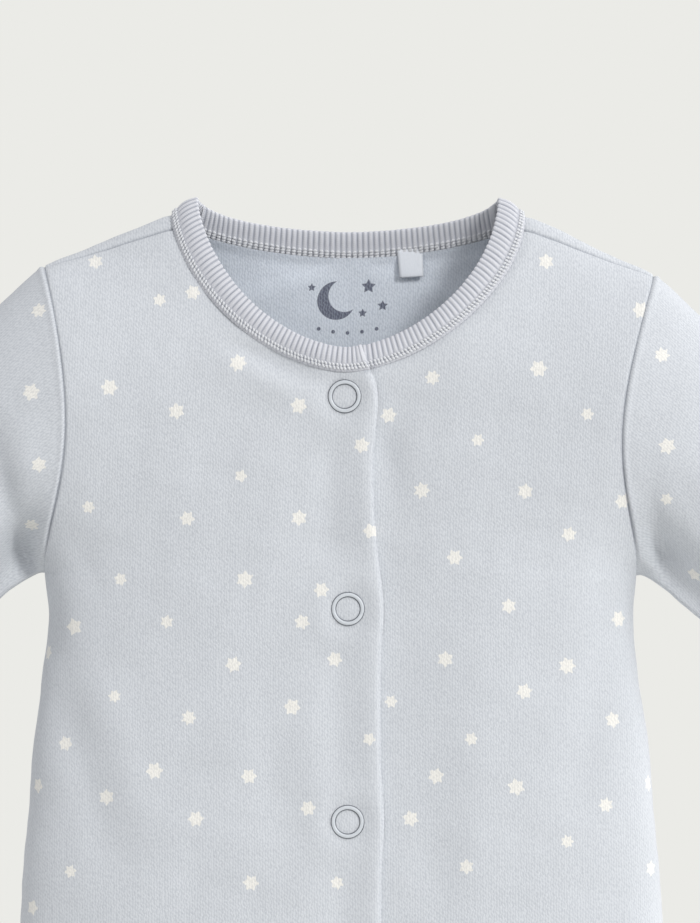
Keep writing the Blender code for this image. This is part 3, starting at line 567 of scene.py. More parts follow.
def sleeve_points(turns, along):
    """Sleeve from the armhole seam (along 0) to the cuff (along 1)."""
    turns, along = turns[None, :], along[:, None]
    centre = np.array([ARMHOLE.out, 0, -ARMHOLE.centre])
    start = armhole_point(turns) - centre
    path = np.zeros(along.shape + (3,))
    for step in range(BEND_STEPS):
        bend = np.radians(SLEEVE_ANGLE + SLEEVE_DROOP * along * (step + 0.5) / BEND_STEPS)
        path += xyz(np.cos(bend), 0, -np.sin(bend)) * (SLEEVE_LENGTH * along / BEND_STEPS)[..., None]
    tilt = math.radians(SLEEVE_ANGLE + SLEEVE_DROOP)
    upward = np.array([math.sin(tilt), 0, math.cos(tilt)])
    angle = np.radians(turns)[..., None]
    cuff = -upward * CUFF_HALF_WIDTH * np.cos(angle) - np.array([0, CUFF_HALF_DEPTH, 0]) * np.sin(angle)
    lift = UNDERARM_LIFT * ((1 + np.cos(angle)) / 2) ** 2 * ease(along / LIFT_STARTS)[..., None]
    share = along[..., None] ** SLEEVE_TAPER
    ring = mix(start, cuff, share)
    reach = ease(along / TUCK_STARTS) * (1 - ease((along - TUCK_STARTS) / (TUCK_ENDS - TUCK_STARTS)))
    hollow = bell(from_armpit(turns) - TUCK_TURN, TUCK_WIDTH)
    ring[..., 1] *= 1 - TUCK * reach * hollow
    rise = along / NOTCH_PEAK * np.exp(1 - along / NOTCH_PEAK)
    ring[..., 2] += NOTCH_LIFT * rise * bell(from_armpit(turns), NOTCH_TURN)
    return centre + path + ring + upward * lift * (1 - along[..., None])


def arm_turns(neck, chest):
    """Where the rows of a front or of the back meet the armhole."""
    return np.concatenate([between(neck, "arm", ROW_SHARES),
                           between(chest, "arm", CHEST_SHARES * (len(chest) - 1))])


SLEEVE_TURNS = np.concatenate([arm_turns(FRONT_NECK, FRONT_CHEST)[::-1],
                               arm_turns(BACK_NECK, BACK_CHEST)[1:]])
SLEEVE_ALONG = np.concatenate([EDGE_STEPS, np.arange(3, 26, 1.2), np.arange(28, SLEEVE_LENGTH - 1, 2.0),
                               [SLEEVE_LENGTH - 0.5, SLEEVE_LENGTH]]) / SLEEVE_LENGTH
sleeve_lean = math.radians(SLEEVE_ANGLE + SLEEVE_DROOP / 2)
SLEEVE_WAY = (math.cos(sleeve_lean), 0, -math.sin(sleeve_lean))
SHOULDER_COLUMN = int(np.abs(SLEEVE_TURNS - 180).argmin())
print("a sleeve has", len(SLEEVE_ALONG), "rows and", len(SLEEVE_TURNS), "columns")

# %% [markdown]
# A foot is a bent tube too: it turns forward at the ankle, narrows at the toe
# and closes there in a flat seam.  The upper is its front half and the sole
# its back half, so both use the same rows.

# %% Feet
def foot_angle(run):
    return np.radians(FOOT_PITCH * ease(run / FOOT_BEND))


def foot_points(runs, turns, above):
    """Foot from the ankle seam to the toe seam; turn 0 is the outer side, 180 the inner one."""
    runs, turns = runs[:, None], turns[None, :]
    across = (read(WIDTHS, "side", ANKLE) + read(WIDTHS, "inner", ANKLE)) / 2
    centre = xyz(across + 0 * runs, 0.0, -ANKLE)
    for step in range(BEND_STEPS):
        angle = foot_angle((step + 0.5) / BEND_STEPS * runs)
        centre = centre - xyz(0.0, np.sin(angle), np.cos(angle)) * (runs / BEND_STEPS)[..., None]
    closing = np.clip((runs - FOOT_TOE) / (FOOT_LENGTH - FOOT_TOE), 0, 1)
    narrow = mix(TOE_SHARE, 1, np.sqrt(1 - closing ** TOE_ROUND))
    half = read(FEET, "above" if above else "below", runs, "run") * oval(closing, 2)
    share = np.cos(np.radians(turns))
    rise = half * oval(share, FOOT_OVAL) * (1 if above else -1)
    angle = foot_angle(runs)
    width = read(FEET, "width", runs, "run") * narrow * share
    return centre + xyz(width, -np.cos(angle) * rise, np.sin(angle) * rise)


TOE_ROWS_FROM = 12  # the rows draw together over the last stretch before the toe
FOOT_ROW_PITCH, TOE_ROWS, FOOT_COLUMNS = 3, 16, 61
FOOT_RUNS = np.concatenate([EDGE_STEPS, np.arange(4, FOOT_LENGTH - TOE_ROWS_FROM, FOOT_ROW_PITCH),
                            FOOT_LENGTH - TOE_ROWS_FROM * np.linspace(1, 0, TOE_ROWS) ** 2])
FOOT_TURNS = np.degrees(np.arccos(1 - 2 * ease(np.linspace(0, 1, FOOT_COLUMNS))))
print("a foot has", len(FOOT_RUNS), "rows and", len(FOOT_TURNS), "columns")

# %% [markdown]
# Now every piece can be laid out.  The garment is made twice, once for each
# side, from the same functions.  The back is cut in one piece, so its two
# halves are kept together; a grid also remembers which of its edges are sewn.

# %% Grids of all the jersey pieces
Grid = namedtuple("Grid", "points flat sewn")
BODY_SEWN = ("top", "end", "outer")  # of the edges top, end, outer and inner
FOOT_SEWN = ("top", "end", "outer", "inner")


def centre_back(down):
    """The back ends on the centre line."""
    return 0 * down


grids = {}
for side, word, turn, edge in ((-1, "right", -RIGHT_END, placket_x), (1, "left", -LEFT_END, lap_end)):
    own = body_grid(False, turn, edge)
    grid = Grid(place(own, side), body_flat(own, side), BODY_SEWN)
    if side > 0:
        grid.points[..., 1] += lap_sink(own)
    grids[f"front_{word}"] = [grid]
    own = body_grid(True, 180.0, centre_back)
    grids.setdefault("back", []).append(Grid(place(own, side), body_flat(own, side), BODY_SEWN))
    own = sleeve_points(SLEEVE_TURNS, SLEEVE_ALONG)
    flat = flat_cut(own, side, SLEEVE_WAY, SHOULDER_COLUMN)
    grids[f"sleeve_{word}"] = [Grid(place(own, side), flat, ("top",))]
    for piece, above in (("foot_upper", True), ("sole", False)):
        own = foot_points(FOOT_RUNS, FOOT_TURNS, above)
        flat = np.stack([own[..., 0], np.broadcast_to(FOOT_RUNS[:, None], own.shape[:2])], -1)
        grids[f"{piece}_{word}"] = [Grid(place(own, side), flat, FOOT_SEWN)]
for name, parts in grids.items():
    print(name, [part.points.shape[:2] for part in parts])

# %% [markdown]
# ## Normals, seams and relief
#
# To give the cloth its thickness, and to press a seam into it, each point
# needs a normal.  Where two pieces are sewn together they share their points,
# so they have to share their normals too, or the seam would open.  The cell
# below adds up the normals of all the points that lie in one place.

# %% Shared normals
KEY_STEP = 0.002  # points closer than this, in millimetres, are one point
KEY_SHIFT = 0.00037  # keeps round numbers off the border between two keys
CORNER_LIMIT = 0.6  # at a sharp corner a normal grows to one over this at most
OPEN_WAYS = {"front_right": -30.0, "front_left": -30.0, "back": 30.0}  # no tubes: they face this way


def keys_of(points):
    return np.round((points + KEY_SHIFT) / KEY_STEP).astype(np.int64)


def own_normals(points):
    """Unit normals of a grid, which may still all point inwards."""
    normal = np.cross(np.gradient(points, axis=1), np.gradient(points, axis=0))
    normal /= np.maximum(np.linalg.norm(normal, axis=2, keepdims=True), TINY)
    return normal


def share_normals(stacks):
    """One normal for all the points that lie in one place, lengthened at corners."""
    points = np.concatenate([points.reshape(-1, 3) for points, _ in stacks])
    normals = np.concatenate([normal.reshape(-1, 3) for _, normal in stacks])
    _, place_of = np.unique(keys_of(points), axis=0, return_inverse=True)
    place_of = place_of.ravel()
    total = np.zeros((place_of.max() + 1, 3))
    np.add.at(total, place_of, normals)
    total /= np.maximum(np.linalg.norm(total, axis=1, keepdims=True), TINY)
    facing = np.zeros(len(total))
    np.add.at(facing, place_of, (total[place_of] * normals).sum(1))
    facing /= np.bincount(place_of)
    shared = (total / np.maximum(facing, CORNER_LIMIT)[:, None])[place_of]
    sizes = np.cumsum([points.reshape(-1, 3).shape[0] for points, _ in stacks])[:-1]
    return [part.reshape(points.shape) for part, (points, _) in zip(np.split(shared, sizes), stacks)]


stacks, signs = [], []
for name, parts in grids.items():
    for part in parts:
        normal = own_normals(part.points)
        away = part.points - part.points.mean((0, 1)) + (0, OPEN_WAYS.get(name, 0.0), 0)
        sign = 1.0 if (normal * away).sum() > 0 else -1.0
        signs.append(sign)
        stacks.append((part.points, normal * sign))
shared = share_normals(stacks)
print("signs of the grids:", signs)

# %% [markdown]
# The next cells add small heights to the cloth, measured along its normals.
# The first is the faint unevenness of any finished garment.  A noise texture
# could displace the mesh, but a sum of long and short waves in all directions
# is as irregular and gives the same height to both sides of a seam.

# %% Unevenness
UNEVEN, UNEVEN_LENGTH = 0.05, 30  # height of a wave of this length; longer ones are higher
WAVE_DEPTH_TURN = 0.05  # how much the waves shift from the front to the back
LONG_WAVES, SHORT_WAVES = (16, 46, 14), (6, 14, 18)  # shortest, longest and how many
rng = np.random.default_rng(7)
WAVE_LENGTHS = np.concatenate([rng.uniform(*LONG_WAVES), rng.uniform(*SHORT_WAVES)])
WAVES = [(length, rng.uniform(0, math.pi), rng.uniform(0, 2 * math.pi)) for length in WAVE_LENGTHS]


def uneven(points):
    total = np.zeros(points.shape[:2])
    for length, turn, phase in WAVES:
        across = points[..., 0] * math.cos(turn) + points[..., 2] * math.sin(turn)
        turn_on = 2 * math.pi * across / length + phase + WAVE_DEPTH_TURN * points[..., 1]
        total += UNEVEN * (length / UNEVEN_LENGTH) * np.sin(turn_on)
    return total


print(len(WAVES), "waves, from", round(min(WAVE_LENGTHS)), "to", round(max(WAVE_LENGTHS)), "mm long")

# %% [markdown]
# A seam shows on the cloth beside it, so each point has to know how far off it
# is.  From a sewn edge that is a length along the grid.  The neck seam is only
# a part of an edge, so there the nearest point of a finely drawn line counts.

# %% Distances to the seams
NECK_BELOW, NECK_BESIDE, NECK_DEEP = 16, 14, 12  # beyond these the neck seam isn't near
NECK_STARTS = -16  # degrees past the centre front, where the laps end
FAR = 99.0


def on_body(name):
    return name == "back" or name.startswith("front")


def edge_distances(points):
    """Distance of each point to the four edges of its grid: top, end, outer, inner."""
    down = running(np.diff(points, axis=0).swapaxes(0, 1)).T
    over = running(np.diff(points, axis=1))
    return {"top": down, "end": down[-1:] - down, "outer": over, "inner": over[:, -1:] - over}


HALF_NECK = neck_point(NECK_SEAM, np.linspace(NECK_STARTS, 180, 500))
NECK_LINE = np.concatenate([place(HALF_NECK, side) for side in (-1, 1)])


def neck_distance(points):
    """Distance of each point to the neck seam, as far as it is near."""
    distance = np.full(points.shape[:2], FAR)
    near = points[..., 2] > -NECK_LOW - NECK_BELOW
    near &= np.abs(points[..., 0]) < NECK_SEAM.half + NECK_BESIDE
    gaps = []
    for spot in points[near]:
        away = NECK_LINE - spot
        behind = np.maximum(np.abs(away[:, 1]) - NECK_DEEP, 0)
        gaps.append((np.hypot(away[:, 0], away[:, 2]) + behind).min())
    distance[near] = gaps
    return distance


print("neck seam:", len(NECK_LINE), "points")

# %% [markdown]
# A seam shows as a soft valley, because the allowance inside pulls both edges
# in: a narrow groove, and a wider, shallower dip around it.  Under the arm the
# two sides lie together and the groove nearly closes.  The same distances give
# a painted shade in the groove, and along the neck seam under the band, which
# is kept on the mesh for the material.

# %% Seams
SEAM_SINK, SEAM_WIDTH = 0.75, 0.48
SEAM_EASE, SEAM_EASE_WIDTH = 0.18, 3  # the wider, shallower valley around it
# widths of the painted shade along the sewn edges and along the neck seam
SHADE_WIDTH, NECK_SHADE_WIDTH = 0.3, 0.6
FADE_LEFT, FADE_FROM, FADE_OVER = 0.3, 3, 16  # the share left at the armpit, and where it grows


def valley(distance):
    """Depth of the cloth at a distance from a seam."""
    return SEAM_SINK * bell(distance, SEAM_WIDTH) + SEAM_EASE * bell(distance, SEAM_EASE_WIDTH)


def off_armpit(points):
    """0 at either armpit, 1 from a little way off: under the arm a seam closes up."""
    gap = np.hypot(np.abs(points[..., 0]) - WIDTHS[0].side, points[..., 2] + ARMPIT)
    return FADE_LEFT + (1 - FADE_LEFT) * ease((gap - FADE_FROM) / FADE_OVER)


def seam_relief(points, distances, sewn):
    return -sum(valley(distances[edge]) for edge in sewn) * off_armpit(points)


def painted_seam_shade(name, part):
    """Painted shade: 1 on a sewn edge and along the neck seam, 0 a little way off it."""
    distances = edge_distances(part.points)
    shade = sum(bell(distances[edge], SHADE_WIDTH) for edge in part.sewn)
    shade = shade * off_armpit(part.points)
    if on_body(name):
        shade = shade + bell(neck_distance(part.points), NECK_SHADE_WIDTH)
    return np.minimum(shade, 1.0)


print("a seam is", round(float(valley(0.0)), 2), "mm deep, and", round(float(valley(1.0)), 2), "beside it")

# %% [markdown]
# The placket's edge is folded, so it rounds over, and the layers behind it
# lift the cloth.  A snap's prongs pinch the layers: the cloth dishes around
# the ring, bulges through it and swells up beyond.  Between two snaps nothing
# holds the placket, so it hangs back a little.

# %% Placket and snaps
EDGE_ROUND, EDGE_DROP = 1.15, 1.6  # how far the folded edge falls away, across and inwards
EDGE_CURVE = 1.25  # and how it bends: 1 is a bevel, 2 is round
EDGE_SWELL, EDGE_SWELL_AT, EDGE_SWELL_WIDTH = 0.45, 3.2, 2.8
HOLLOW, HOLLOW_AT, HOLLOW_WIDTH = 1.2, 14, 6  # between two snaps the placket hangs back
SNAP_HOLDS = 17  # but not as near as this to a snap
SNAP_DISH, SNAP_DISH_WIDTH = 0.95, 7.6
SNAP_DOME, SNAP_DOME_WIDTH = 0.45, 3  # the cloth bulges through the ring
SNAP_BITE, SNAP_RADIUS, SNAP_BITE_WIDTH = 0.25, 5.9, 0.8  # and is nipped under its rim
SNAP_SWELL, SNAP_SWELL_AT, SNAP_SWELL_WIDTH = 0.25, 1.55 * SNAP_DISH_WIDTH, 3.6
SNAP_STRAY = (1.1, 0.3, 0, -0.2)  # no snap is set quite in line


def snap_across(number):
    """Where a snap's centre lies, across."""
    snap = SNAPS[number]
    return placket_x(snap) - SNAP_INSET + SNAP_STRAY[number] + read(HANGS, "shift", snap)


def placket_relief(points):
    """Folded edge, its swell, and the dishes around the snaps."""
    down = -points[..., 2]
    distance = placket_x(down) + read(HANGS, "shift", down) - points[..., 0]
    near = np.clip(1 - distance / EDGE_ROUND, 0, 1)
    relief = -EDGE_DROP * near ** EDGE_CURVE
    relief += EDGE_SWELL * bell(distance - EDGE_SWELL_AT, EDGE_SWELL_WIDTH)
    at_snap = 0
    for number, snap in enumerate(SNAPS):
        off = np.hypot(points[..., 0] - snap_across(number), down - snap)
        relief -= SNAP_DISH * np.exp(-(off / SNAP_DISH_WIDTH) ** 4)
        relief += SNAP_DOME * bell(off, SNAP_DOME_WIDTH)
        relief -= SNAP_BITE * bell(off - SNAP_RADIUS, SNAP_BITE_WIDTH)
        relief += SNAP_SWELL * bell(off - SNAP_SWELL_AT, SNAP_SWELL_WIDTH)
        at_snap = at_snap + bell(down - snap, SNAP_HOLDS)
    hollow = bell(distance - HOLLOW_AT, HOLLOW_WIDTH) * np.clip(1 - at_snap, 0, 1)
    return relief - HOLLOW * hollow


print("snaps at", [round(float(snap_across(number)), 1) for number in range(SNAP_COUNT)], "mm across")

# %% [markdown]
# The last cell of the relief puts it together, piece by piece.  The fronts are
# sewn to each other below the placket, and the back to itself between the
# legs.  The sleeve's seam allowance lies under its own edge and stands up as a
# low welt, and the cuff's hem is a second layer.

# %% Relief of every piece
NECK_SINK, NECK_WIDTH = 0.7, 2.2
EDGE_FADE = 3  # the placket's edge starts from the neck seam over this length
WELT, WELT_AT, WELT_WIDTH = 0.42, 1.4, 0.9
WELT_FROM = 22  # degrees from the armpit where it begins to show
CUFF_HEM, HEM_LIFT, HEM_STEP = 13, 0.3, 0.8
BACK_PARTS, BACK_PARTED = 332, 338  # the inner leg seams begin here on the back


def relief_of(name, part):
    distances = edge_distances(part.points)
    relief = uneven(part.points) + seam_relief(part.points, distances, part.sewn)
    if on_body(name):
        last = len(ROW_SHARES)
        relief -= NECK_SINK * bell(neck_distance(part.points), NECK_WIDTH)
        edge_down = -part.points[:, -1:, 2]
        shut = 1 - lap_share(edge_down)
        if name == "back":
            shut = ease((edge_down - BACK_PARTS) / (BACK_PARTED - BACK_PARTS))
        relief[last:] -= (valley(distances["inner"]) * shut)[last:]
    if name == "front_right":
        relief += placket_relief(part.points) * (1 - shut) * ease(neck_distance(part.points) / EDGE_FADE)
    if name.startswith("sleeve"):
        welt = WELT * ease((from_armpit(SLEEVE_TURNS) - WELT_FROM) / WELT_FROM)
        relief += welt * bell(distances["top"] - WELT_AT, WELT_WIDTH)
        relief += HEM_LIFT * ease((CUFF_HEM - distances["end"]) / HEM_STEP)
    return relief


# A skin's seam field holds the painted shade along its seams.
Skin = namedtuple("Skin", "points normals flat sign seam")
outers, count = {}, 0
for name, parts in grids.items():
    outers[name] = []
    for part in parts:
        normals, sign = shared[count], signs[count]
        count += 1
        moved = part.points + normals * relief_of(name, part)[..., None]
        outers[name].append(Skin(moved, normals, part.flat, sign, painted_seam_shade(name, part)))
print("relief added to", count, "grids")

# %% [markdown]
# ## From a skin to a closed wall
#
# Every mesh is worked out in millimetres and becomes an object in metres, and
# every object rides on the garment's one body.  Two helpers see to that.

# %% New objects
def new_mesh(name, points, faces):
    """Smooth mesh from points in millimetres."""
    mesh = bpy.data.meshes.new(name)
    mesh.from_pydata((np.asarray(points) * MM).tolist(), [], faces)
    mesh.shade_smooth()
    return mesh


def new_piece(name, mesh, *materials):
    """Object that rides on the garment's one body."""
    piece = bpy.data.objects.new(name, mesh)
    COLLECTION.objects.link(piece)
    for material in materials:
        mesh.materials.append(material)
    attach(piece, "root")
    return piece


print("pieces go into", COLLECTION.name)

# %% [markdown]
# `shell` turns the outer points into a closed wall: the same points again, one
# cloth's thickness further in, and a rim along every open edge.  Blender's
# Solidify modifier does the same job on one piece, but it knows nothing of the
# neighbour across the seam.  The flat cut goes onto the mesh as its UV map, in
# metres, so the knit runs along the cloth as it was cut.

# %% Shell
INSIDE_SHADE = 0.5  # share of the seams' shade that the inside gets
CLOTH_SHARP = math.radians(55)


def shell(name, parts, wall, outside, inside, spots):
    """Closed wall of one piece, with its flat cut as a UV map and its stars."""
    points, normals, flats, quads, start = [], [], [], [], 0
    for grid, normal, flat, sign, _ in parts:
        rows, columns = grid.shape[:2]
        index = np.arange(rows * columns).reshape(rows, columns) + start
        faces = np.stack([index[:-1, :-1], index[:-1, 1:], index[1:, 1:], index[1:, :-1]], -1)
        faces = faces.reshape(-1, 4)
        quads.append(faces if sign > 0 else faces[:, ::-1])
        points.append(grid.reshape(-1, 3))
        normals.append(normal.reshape(-1, 3))
        flats.append(flat.reshape(-1, 2))
        start += rows * columns
    points, normals, flats, quads = map(np.concatenate, (points, normals, flats, quads))
    _, first, weld = np.unique(keys_of(points), axis=0, return_index=True, return_inverse=True)
    weld = weld.ravel()
    outer, total = points[first], len(first)
    inner = outer - normals[first] * wall
    tails, heads = quads, np.roll(quads, -1, axis=1)
    one_way = weld[tails] * total + weld[heads]
    other_way = weld[heads] * total + weld[tails]
    free = ~np.isin(one_way, other_way)
    a, b = tails[free], heads[free]
    faces = np.concatenate([weld[quads], weld[quads][:, ::-1] + total,
                            np.stack([weld[b], weld[a], weld[a] + total, weld[b] + total], 1)])
    corners = np.concatenate([quads, quads[:, ::-1], np.stack([b, a, a, b], 1)])
    mesh = new_mesh(name, np.concatenate([outer, inner]), faces.tolist())
    layer = mesh.uv_layers.new(name="cloth")
    layer.uv.foreach_set("vector", (flats[corners] * MM).astype(np.float32).ravel())
    places = mesh.attributes.new("star", "FLOAT_VECTOR", "CORNER")
    places.data.foreach_set("vector", star_corners(flats, corners, spots).astype(np.float32).ravel())
    # The seam attribute is painted shade along the seams; the inside gets a share of it.
    seam = np.concatenate([part.seam.ravel() for part in parts])[first]
    shade = mesh.attributes.new("seam", "FLOAT", "POINT")
    shade.data.foreach_set("value", np.concatenate([seam, seam * INSIDE_SHADE]).astype(np.float32))
    slots = np.zeros(len(faces), np.int32)
    slots[len(quads):2 * len(quads)] = 1
    mesh.polygons.foreach_set("material_index", slots)
    mesh.set_sharp_from_angle(angle=CLOTH_SHARP)
    return new_piece(name, mesh, outside, inside)


print("a wall is", WALL, "mm thick")

# %% [markdown]
# ## Where the stars are printed
#
# The jersey was printed before it was cut, so each star lies flat on its
# piece and a seam can cut through it.  The stars that show from the front are
# charted in whole millimetres across and down from the neck; the rest
# are scattered at a like distance, from a fixed seed.

# %% Star chart
STAR_CHART = (
    (-86, 21), (68, 21), (-53, 31), (-64, 34), (-105, 37), (100, 37), (108, 53), (-37, 55), (65, 57),
    (29, 60), (-81, 64), (-108, 65), (-16, 70), (-58, 72), (14, 73), (82, 73), (45, 82), (5, 84),
    (109, 84), (-105, 90), (-36, 94), (25, 99), (61, 99), (109, 102), (94, 103), (-88, 104), (-17, 108),
    (-54, 109), (-108, 111), (8, 113), (76, 114), (37, 122), (119, 128), (-77, 129), (-35, 130),
    (-8, 132), (56, 138), (-61, 143), (-15, 143), (93, 143), (-93, 146), (-102, 155), (-4, 157),
    (34, 157), (-38, 158), (75, 158), (61, 167), (-79, 170), (15, 171), (-18, 172), (-54, 177),
    (91, 177), (42, 183), (8, 184), (-96, 185), (-65, 195), (31, 196), (-34, 197), (103, 198),
    (-106, 199), (58, 201), (-83, 204), (89, 206), (-14, 208), (21, 210), (-51, 211), (76, 218),
    (41, 228), (104, 228), (-94, 229), (-33, 232), (-4, 232), (-108, 241)
)
print(len(STAR_CHART), "stars are charted")

# %% [markdown]
# The chart tells where a star is seen, but not on which piece.  So each point
# of the cloth is first looked at from where the viewer stands.

# %% Cloth that shows
EYE = np.array([1.0, -3012.0, -88.9])  # the viewer looks from here
SEEN_ACROSS, SEEN_DOWN = 120, 250  # the part of the garment that the chart covers
SHOULDER_LOW = 42  # and over the top of the shoulders, down to here
BARE_FACING = 0.12  # cloth that faces the eye by less doesn't show
SHOULDER_TURN, SIDE_TURN = 0.97, 0.45  # the chart holds for cloth turned away by less
Shown = namedtuple("Shown", "name points flat bare charted")


def as_seen(points):
    """Where points appear from the eye, across and down, at the depth of the shoulders."""
    nearer = EYE[1] / (EYE[1] - points[..., 1])
    across = EYE[0] + (points[..., 0] - EYE[0]) * nearer
    down = -EYE[2] - (points[..., 2] - EYE[2]) * nearer
    return np.stack([across, down], -1)


def shown(name, points, normals):
    """Whether each point can be seen from the eye."""
    bare = -normals[..., 1] > BARE_FACING
    if name == "front_left":
        bare &= points[..., 0] > placket_x(-points[..., 2]) + read(HANGS, "shift", -points[..., 2])
    return bare


skins = []
for name, parts in outers.items():
    for points, normals, flat, _, _ in parts:
        limit = np.where(-points[..., 2] < SHOULDER_LOW, SHOULDER_TURN, SIDE_TURN)
        in_chart = normals[..., 1] < limit
        in_chart &= np.abs(points[..., 0]) < SEEN_ACROSS
        in_chart &= -points[..., 2] < SEEN_DOWN
        skins.append(Shown(name, points, flat, shown(name, points, normals), in_chart))
print(sum(int(skin.bare.sum()) for skin in skins), "points of the cloth can show")

# %% [markdown]
# Each charted star belongs to the piece whose outside shows nearest to it, and
# is kept as a place on its flat cut, with a size, a turn and a number of points
# of its own.

# %% Charted stars
STAR_MISS = 3  # a charted star must meet cloth this near
STAR_RADII = (2.4, 2.8, 2.95, 3.15)
STAR_POINTS = (5, 6, 6, 6, 6, 7)
star_rng = np.random.default_rng(21)


def star(on_cloth):
    """A star on the flat cut: across, down, radius, turn and number of points."""
    across, down = on_cloth
    return (across, down, star_rng.choice(STAR_RADII), star_rng.uniform(0, 2 * math.pi),
            star_rng.choice(STAR_POINTS))


stars = {name: [] for name in outers}
for spot in STAR_CHART:
    nearest = STAR_MISS
    for skin in skins:
        off = np.where(skin.bare, np.linalg.norm(as_seen(skin.points) - spot, axis=-1), FAR)
        row, column = np.unravel_index(off.argmin(), off.shape)
        if off[row, column] < nearest:
            nearest, owner, on_cloth = off[row, column], skin.name, skin.flat[row, column]
    if nearest < STAR_MISS:
        stars[owner].append(star(on_cloth))
print(sum(map(len, stars.values())), "of", len(STAR_CHART), "charted stars lie on the cloth")

# %% [markdown]
# The same print runs on around the sides and the back.  There the stars stand
# on staggered rows with a random shift, and a spot is left out if it lies off
# the piece, under the chart, or too near a star that is there already.

# %% Stars of the hidden sides
STAR_PITCH, STAR_ROW_PITCH, STAR_JITTER, STAR_CLEAR = 22, 19.8, 5, 14
STAR_MARGIN = 6  # the first row starts this far from the end of a piece
STAR_OFF = 2  # a star further than this from any cloth is left out

for name, parts in outers.items():
    flats = np.concatenate([part.flat.reshape(-1, 2) for part in parts])
    charted_here = np.concatenate([skin.charted.ravel() for skin in skins if skin.name == name])
    low, high = flats.min(0), flats.max(0)
    for row, down in enumerate(np.arange(low[1] + STAR_MARGIN, high[1], STAR_ROW_PITCH)):
        for across in np.arange(low[0] + (row % 2) * STAR_PITCH / 2, high[0], STAR_PITCH):
            spot = np.array([across, down]) + star_rng.uniform(-STAR_JITTER, STAR_JITTER, 2)
            off = np.linalg.norm(flats - spot, axis=1)
            others = [math.dist(spot, other[:2]) for other in stars[name]]
            free = off.min() < STAR_OFF and min(others, default=FAR) > STAR_CLEAR
            if free and not charted_here[off.argmin()]:
                stars[name].append(star(spot))
print("stars on each piece:", {name: len(spots) for name, spots in stars.items()})

# %% [markdown]
# A material can't search through a list of stars, so the search is done once
# here, for each face.  Its corners keep their place within the nearest star,
# and the shader only has to draw one star.  The faces are taken in batches, or
# the table of all distances would fill the memory.

# %% Nearest star of each face
BATCH = 8192


def star_corners(flats, corners, spots):
    """For each face corner, its place within the nearest star, and that star's points."""
    spots = np.array(spots)
    nearest = np.zeros(len(corners), int)
    middles = flats[corners].mean(1)
    for start in range(0, len(middles), BATCH):
        gap = middles[start:start + BATCH, None] - spots[None, :, :2]
        nearest[start:start + BATCH] = (gap ** 2).sum(-1).argmin(1)
    mine = spots[nearest][:, None, :]
    away = (flats[corners] - mine[..., :2]) / mine[..., 2:3]
    turn = mine[..., 3]
    x = away[..., 0] * np.cos(turn) - away[..., 1] * np.sin(turn)
    y = away[..., 0] * np.sin(turn) + away[..., 1] * np.cos(turn)
    return np.stack([x, y, np.broadcast_to(mine[..., 4], x.shape)], -1)


print(sum(map(len, stars.values())), "stars in all")

# %% [markdown]
# ## Small tools for shader nodes
#
# Node trees are long to write in full.  `put` adds a node and links or sets
# its inputs, `calc` adds one math node, and `new_group` starts a node group
# with named sockets.  A group keeps an effect in one place, so that jersey and
# ribs can each use it with values of their own.

# %% Node helpers
def put(tree, kind, values=None, **settings):
    """Adds a node; each value is a number, or a socket to link."""
    node = tree.nodes.new(kind)
    for key, value in settings.items():
        setattr(node, key, value)
    for key, value in (values or {}).items():
        if isinstance(value, bpy.types.NodeSocket):
            tree.links.new(value, node.inputs[key])
        else:
            node.inputs[key].default_value = value
    return node


def calc(tree, work, *values):
    return put(tree, "ShaderNodeMath", dict(enumerate(values)), operation=work).outputs[0]


def remap(tree, value, low, high, start=0.0, end=1.0, way="SMOOTHSTEP"):
    values = {"Value": value, "From Min": low, "From Max": high, "To Min": start, "To Max": end}
    return put(tree, "ShaderNodeMapRange", values, interpolation_type=way).outputs["Result"]


def blend_colours(tree, share, first, second, way="MIX"):
    values = {0: share, 6: first, 7: second}
    return put(tree, "ShaderNodeMix", values, data_type="RGBA", blend_type=way).outputs[2]


def toned(tree, colour, shade):
    """A colour that a shade around 1 makes lighter or darker."""
    tone = put(tree, "ShaderNodeCombineXYZ", {0: shade, 1: shade, 2: shade}).outputs[0]
    return blend_colours(tree, 1.0, colour, tone, "MULTIPLY")


def new_group(name, inputs, outputs):
    """A shader node group with named sockets; returns its tree, inputs and outputs."""
    tree = bpy.data.node_groups.new(name, "ShaderNodeTree")
    for label, kind, value in inputs:
        socket = tree.interface.new_socket(label, in_out="INPUT", socket_type=kind)
        if value is not None:
            socket.default_value = value
    for label, kind in outputs:
        tree.interface.new_socket(label, in_out="OUTPUT", socket_type=kind)
    return tree, tree.nodes.new("NodeGroupInput").outputs, tree.nodes.new("NodeGroupOutput").inputs


def use_group(tree, group, values):
    return put(tree, "ShaderNodeGroup", values, node_tree=group).outputs


def object_noise(tree, scale, detail):
    """A noise that keeps its place on the object, from 0 to 1."""
    place_on = put(tree, "ShaderNodeTexCoord").outputs["Object"]
    values = {"Vector": place_on, "Scale": scale, "Detail": detail}
    return put(tree, "ShaderNodeTexNoise", values).outputs["Fac"]


def cover(tree, shader, colour, height, distance, strength=1.0):
    """Gives a surface its colour, and a height as a bump."""
    tree.links.new(colour, shader.inputs["Base Color"])
    bump = put(tree, "ShaderNodeBump", {"Height": height, "Distance": distance, "Strength": strength})
    tree.links.new(bump.outputs[0], shader.inputs["Normal"])


FLOAT, VECTOR = "NodeSocketFloat", "NodeSocketVector"
print("helpers ready")

# %% [markdown]
# ## Interlock knit
#
# Interlock is a double knit: upright columns of small V-shaped loops, the
# wales, look the same on both faces.  Modelling each loop would take millions
# of faces, so the loops are a height for a bump.  The group reads the flat
# cut, so the wales run down the body and along the sleeves as they were cut.

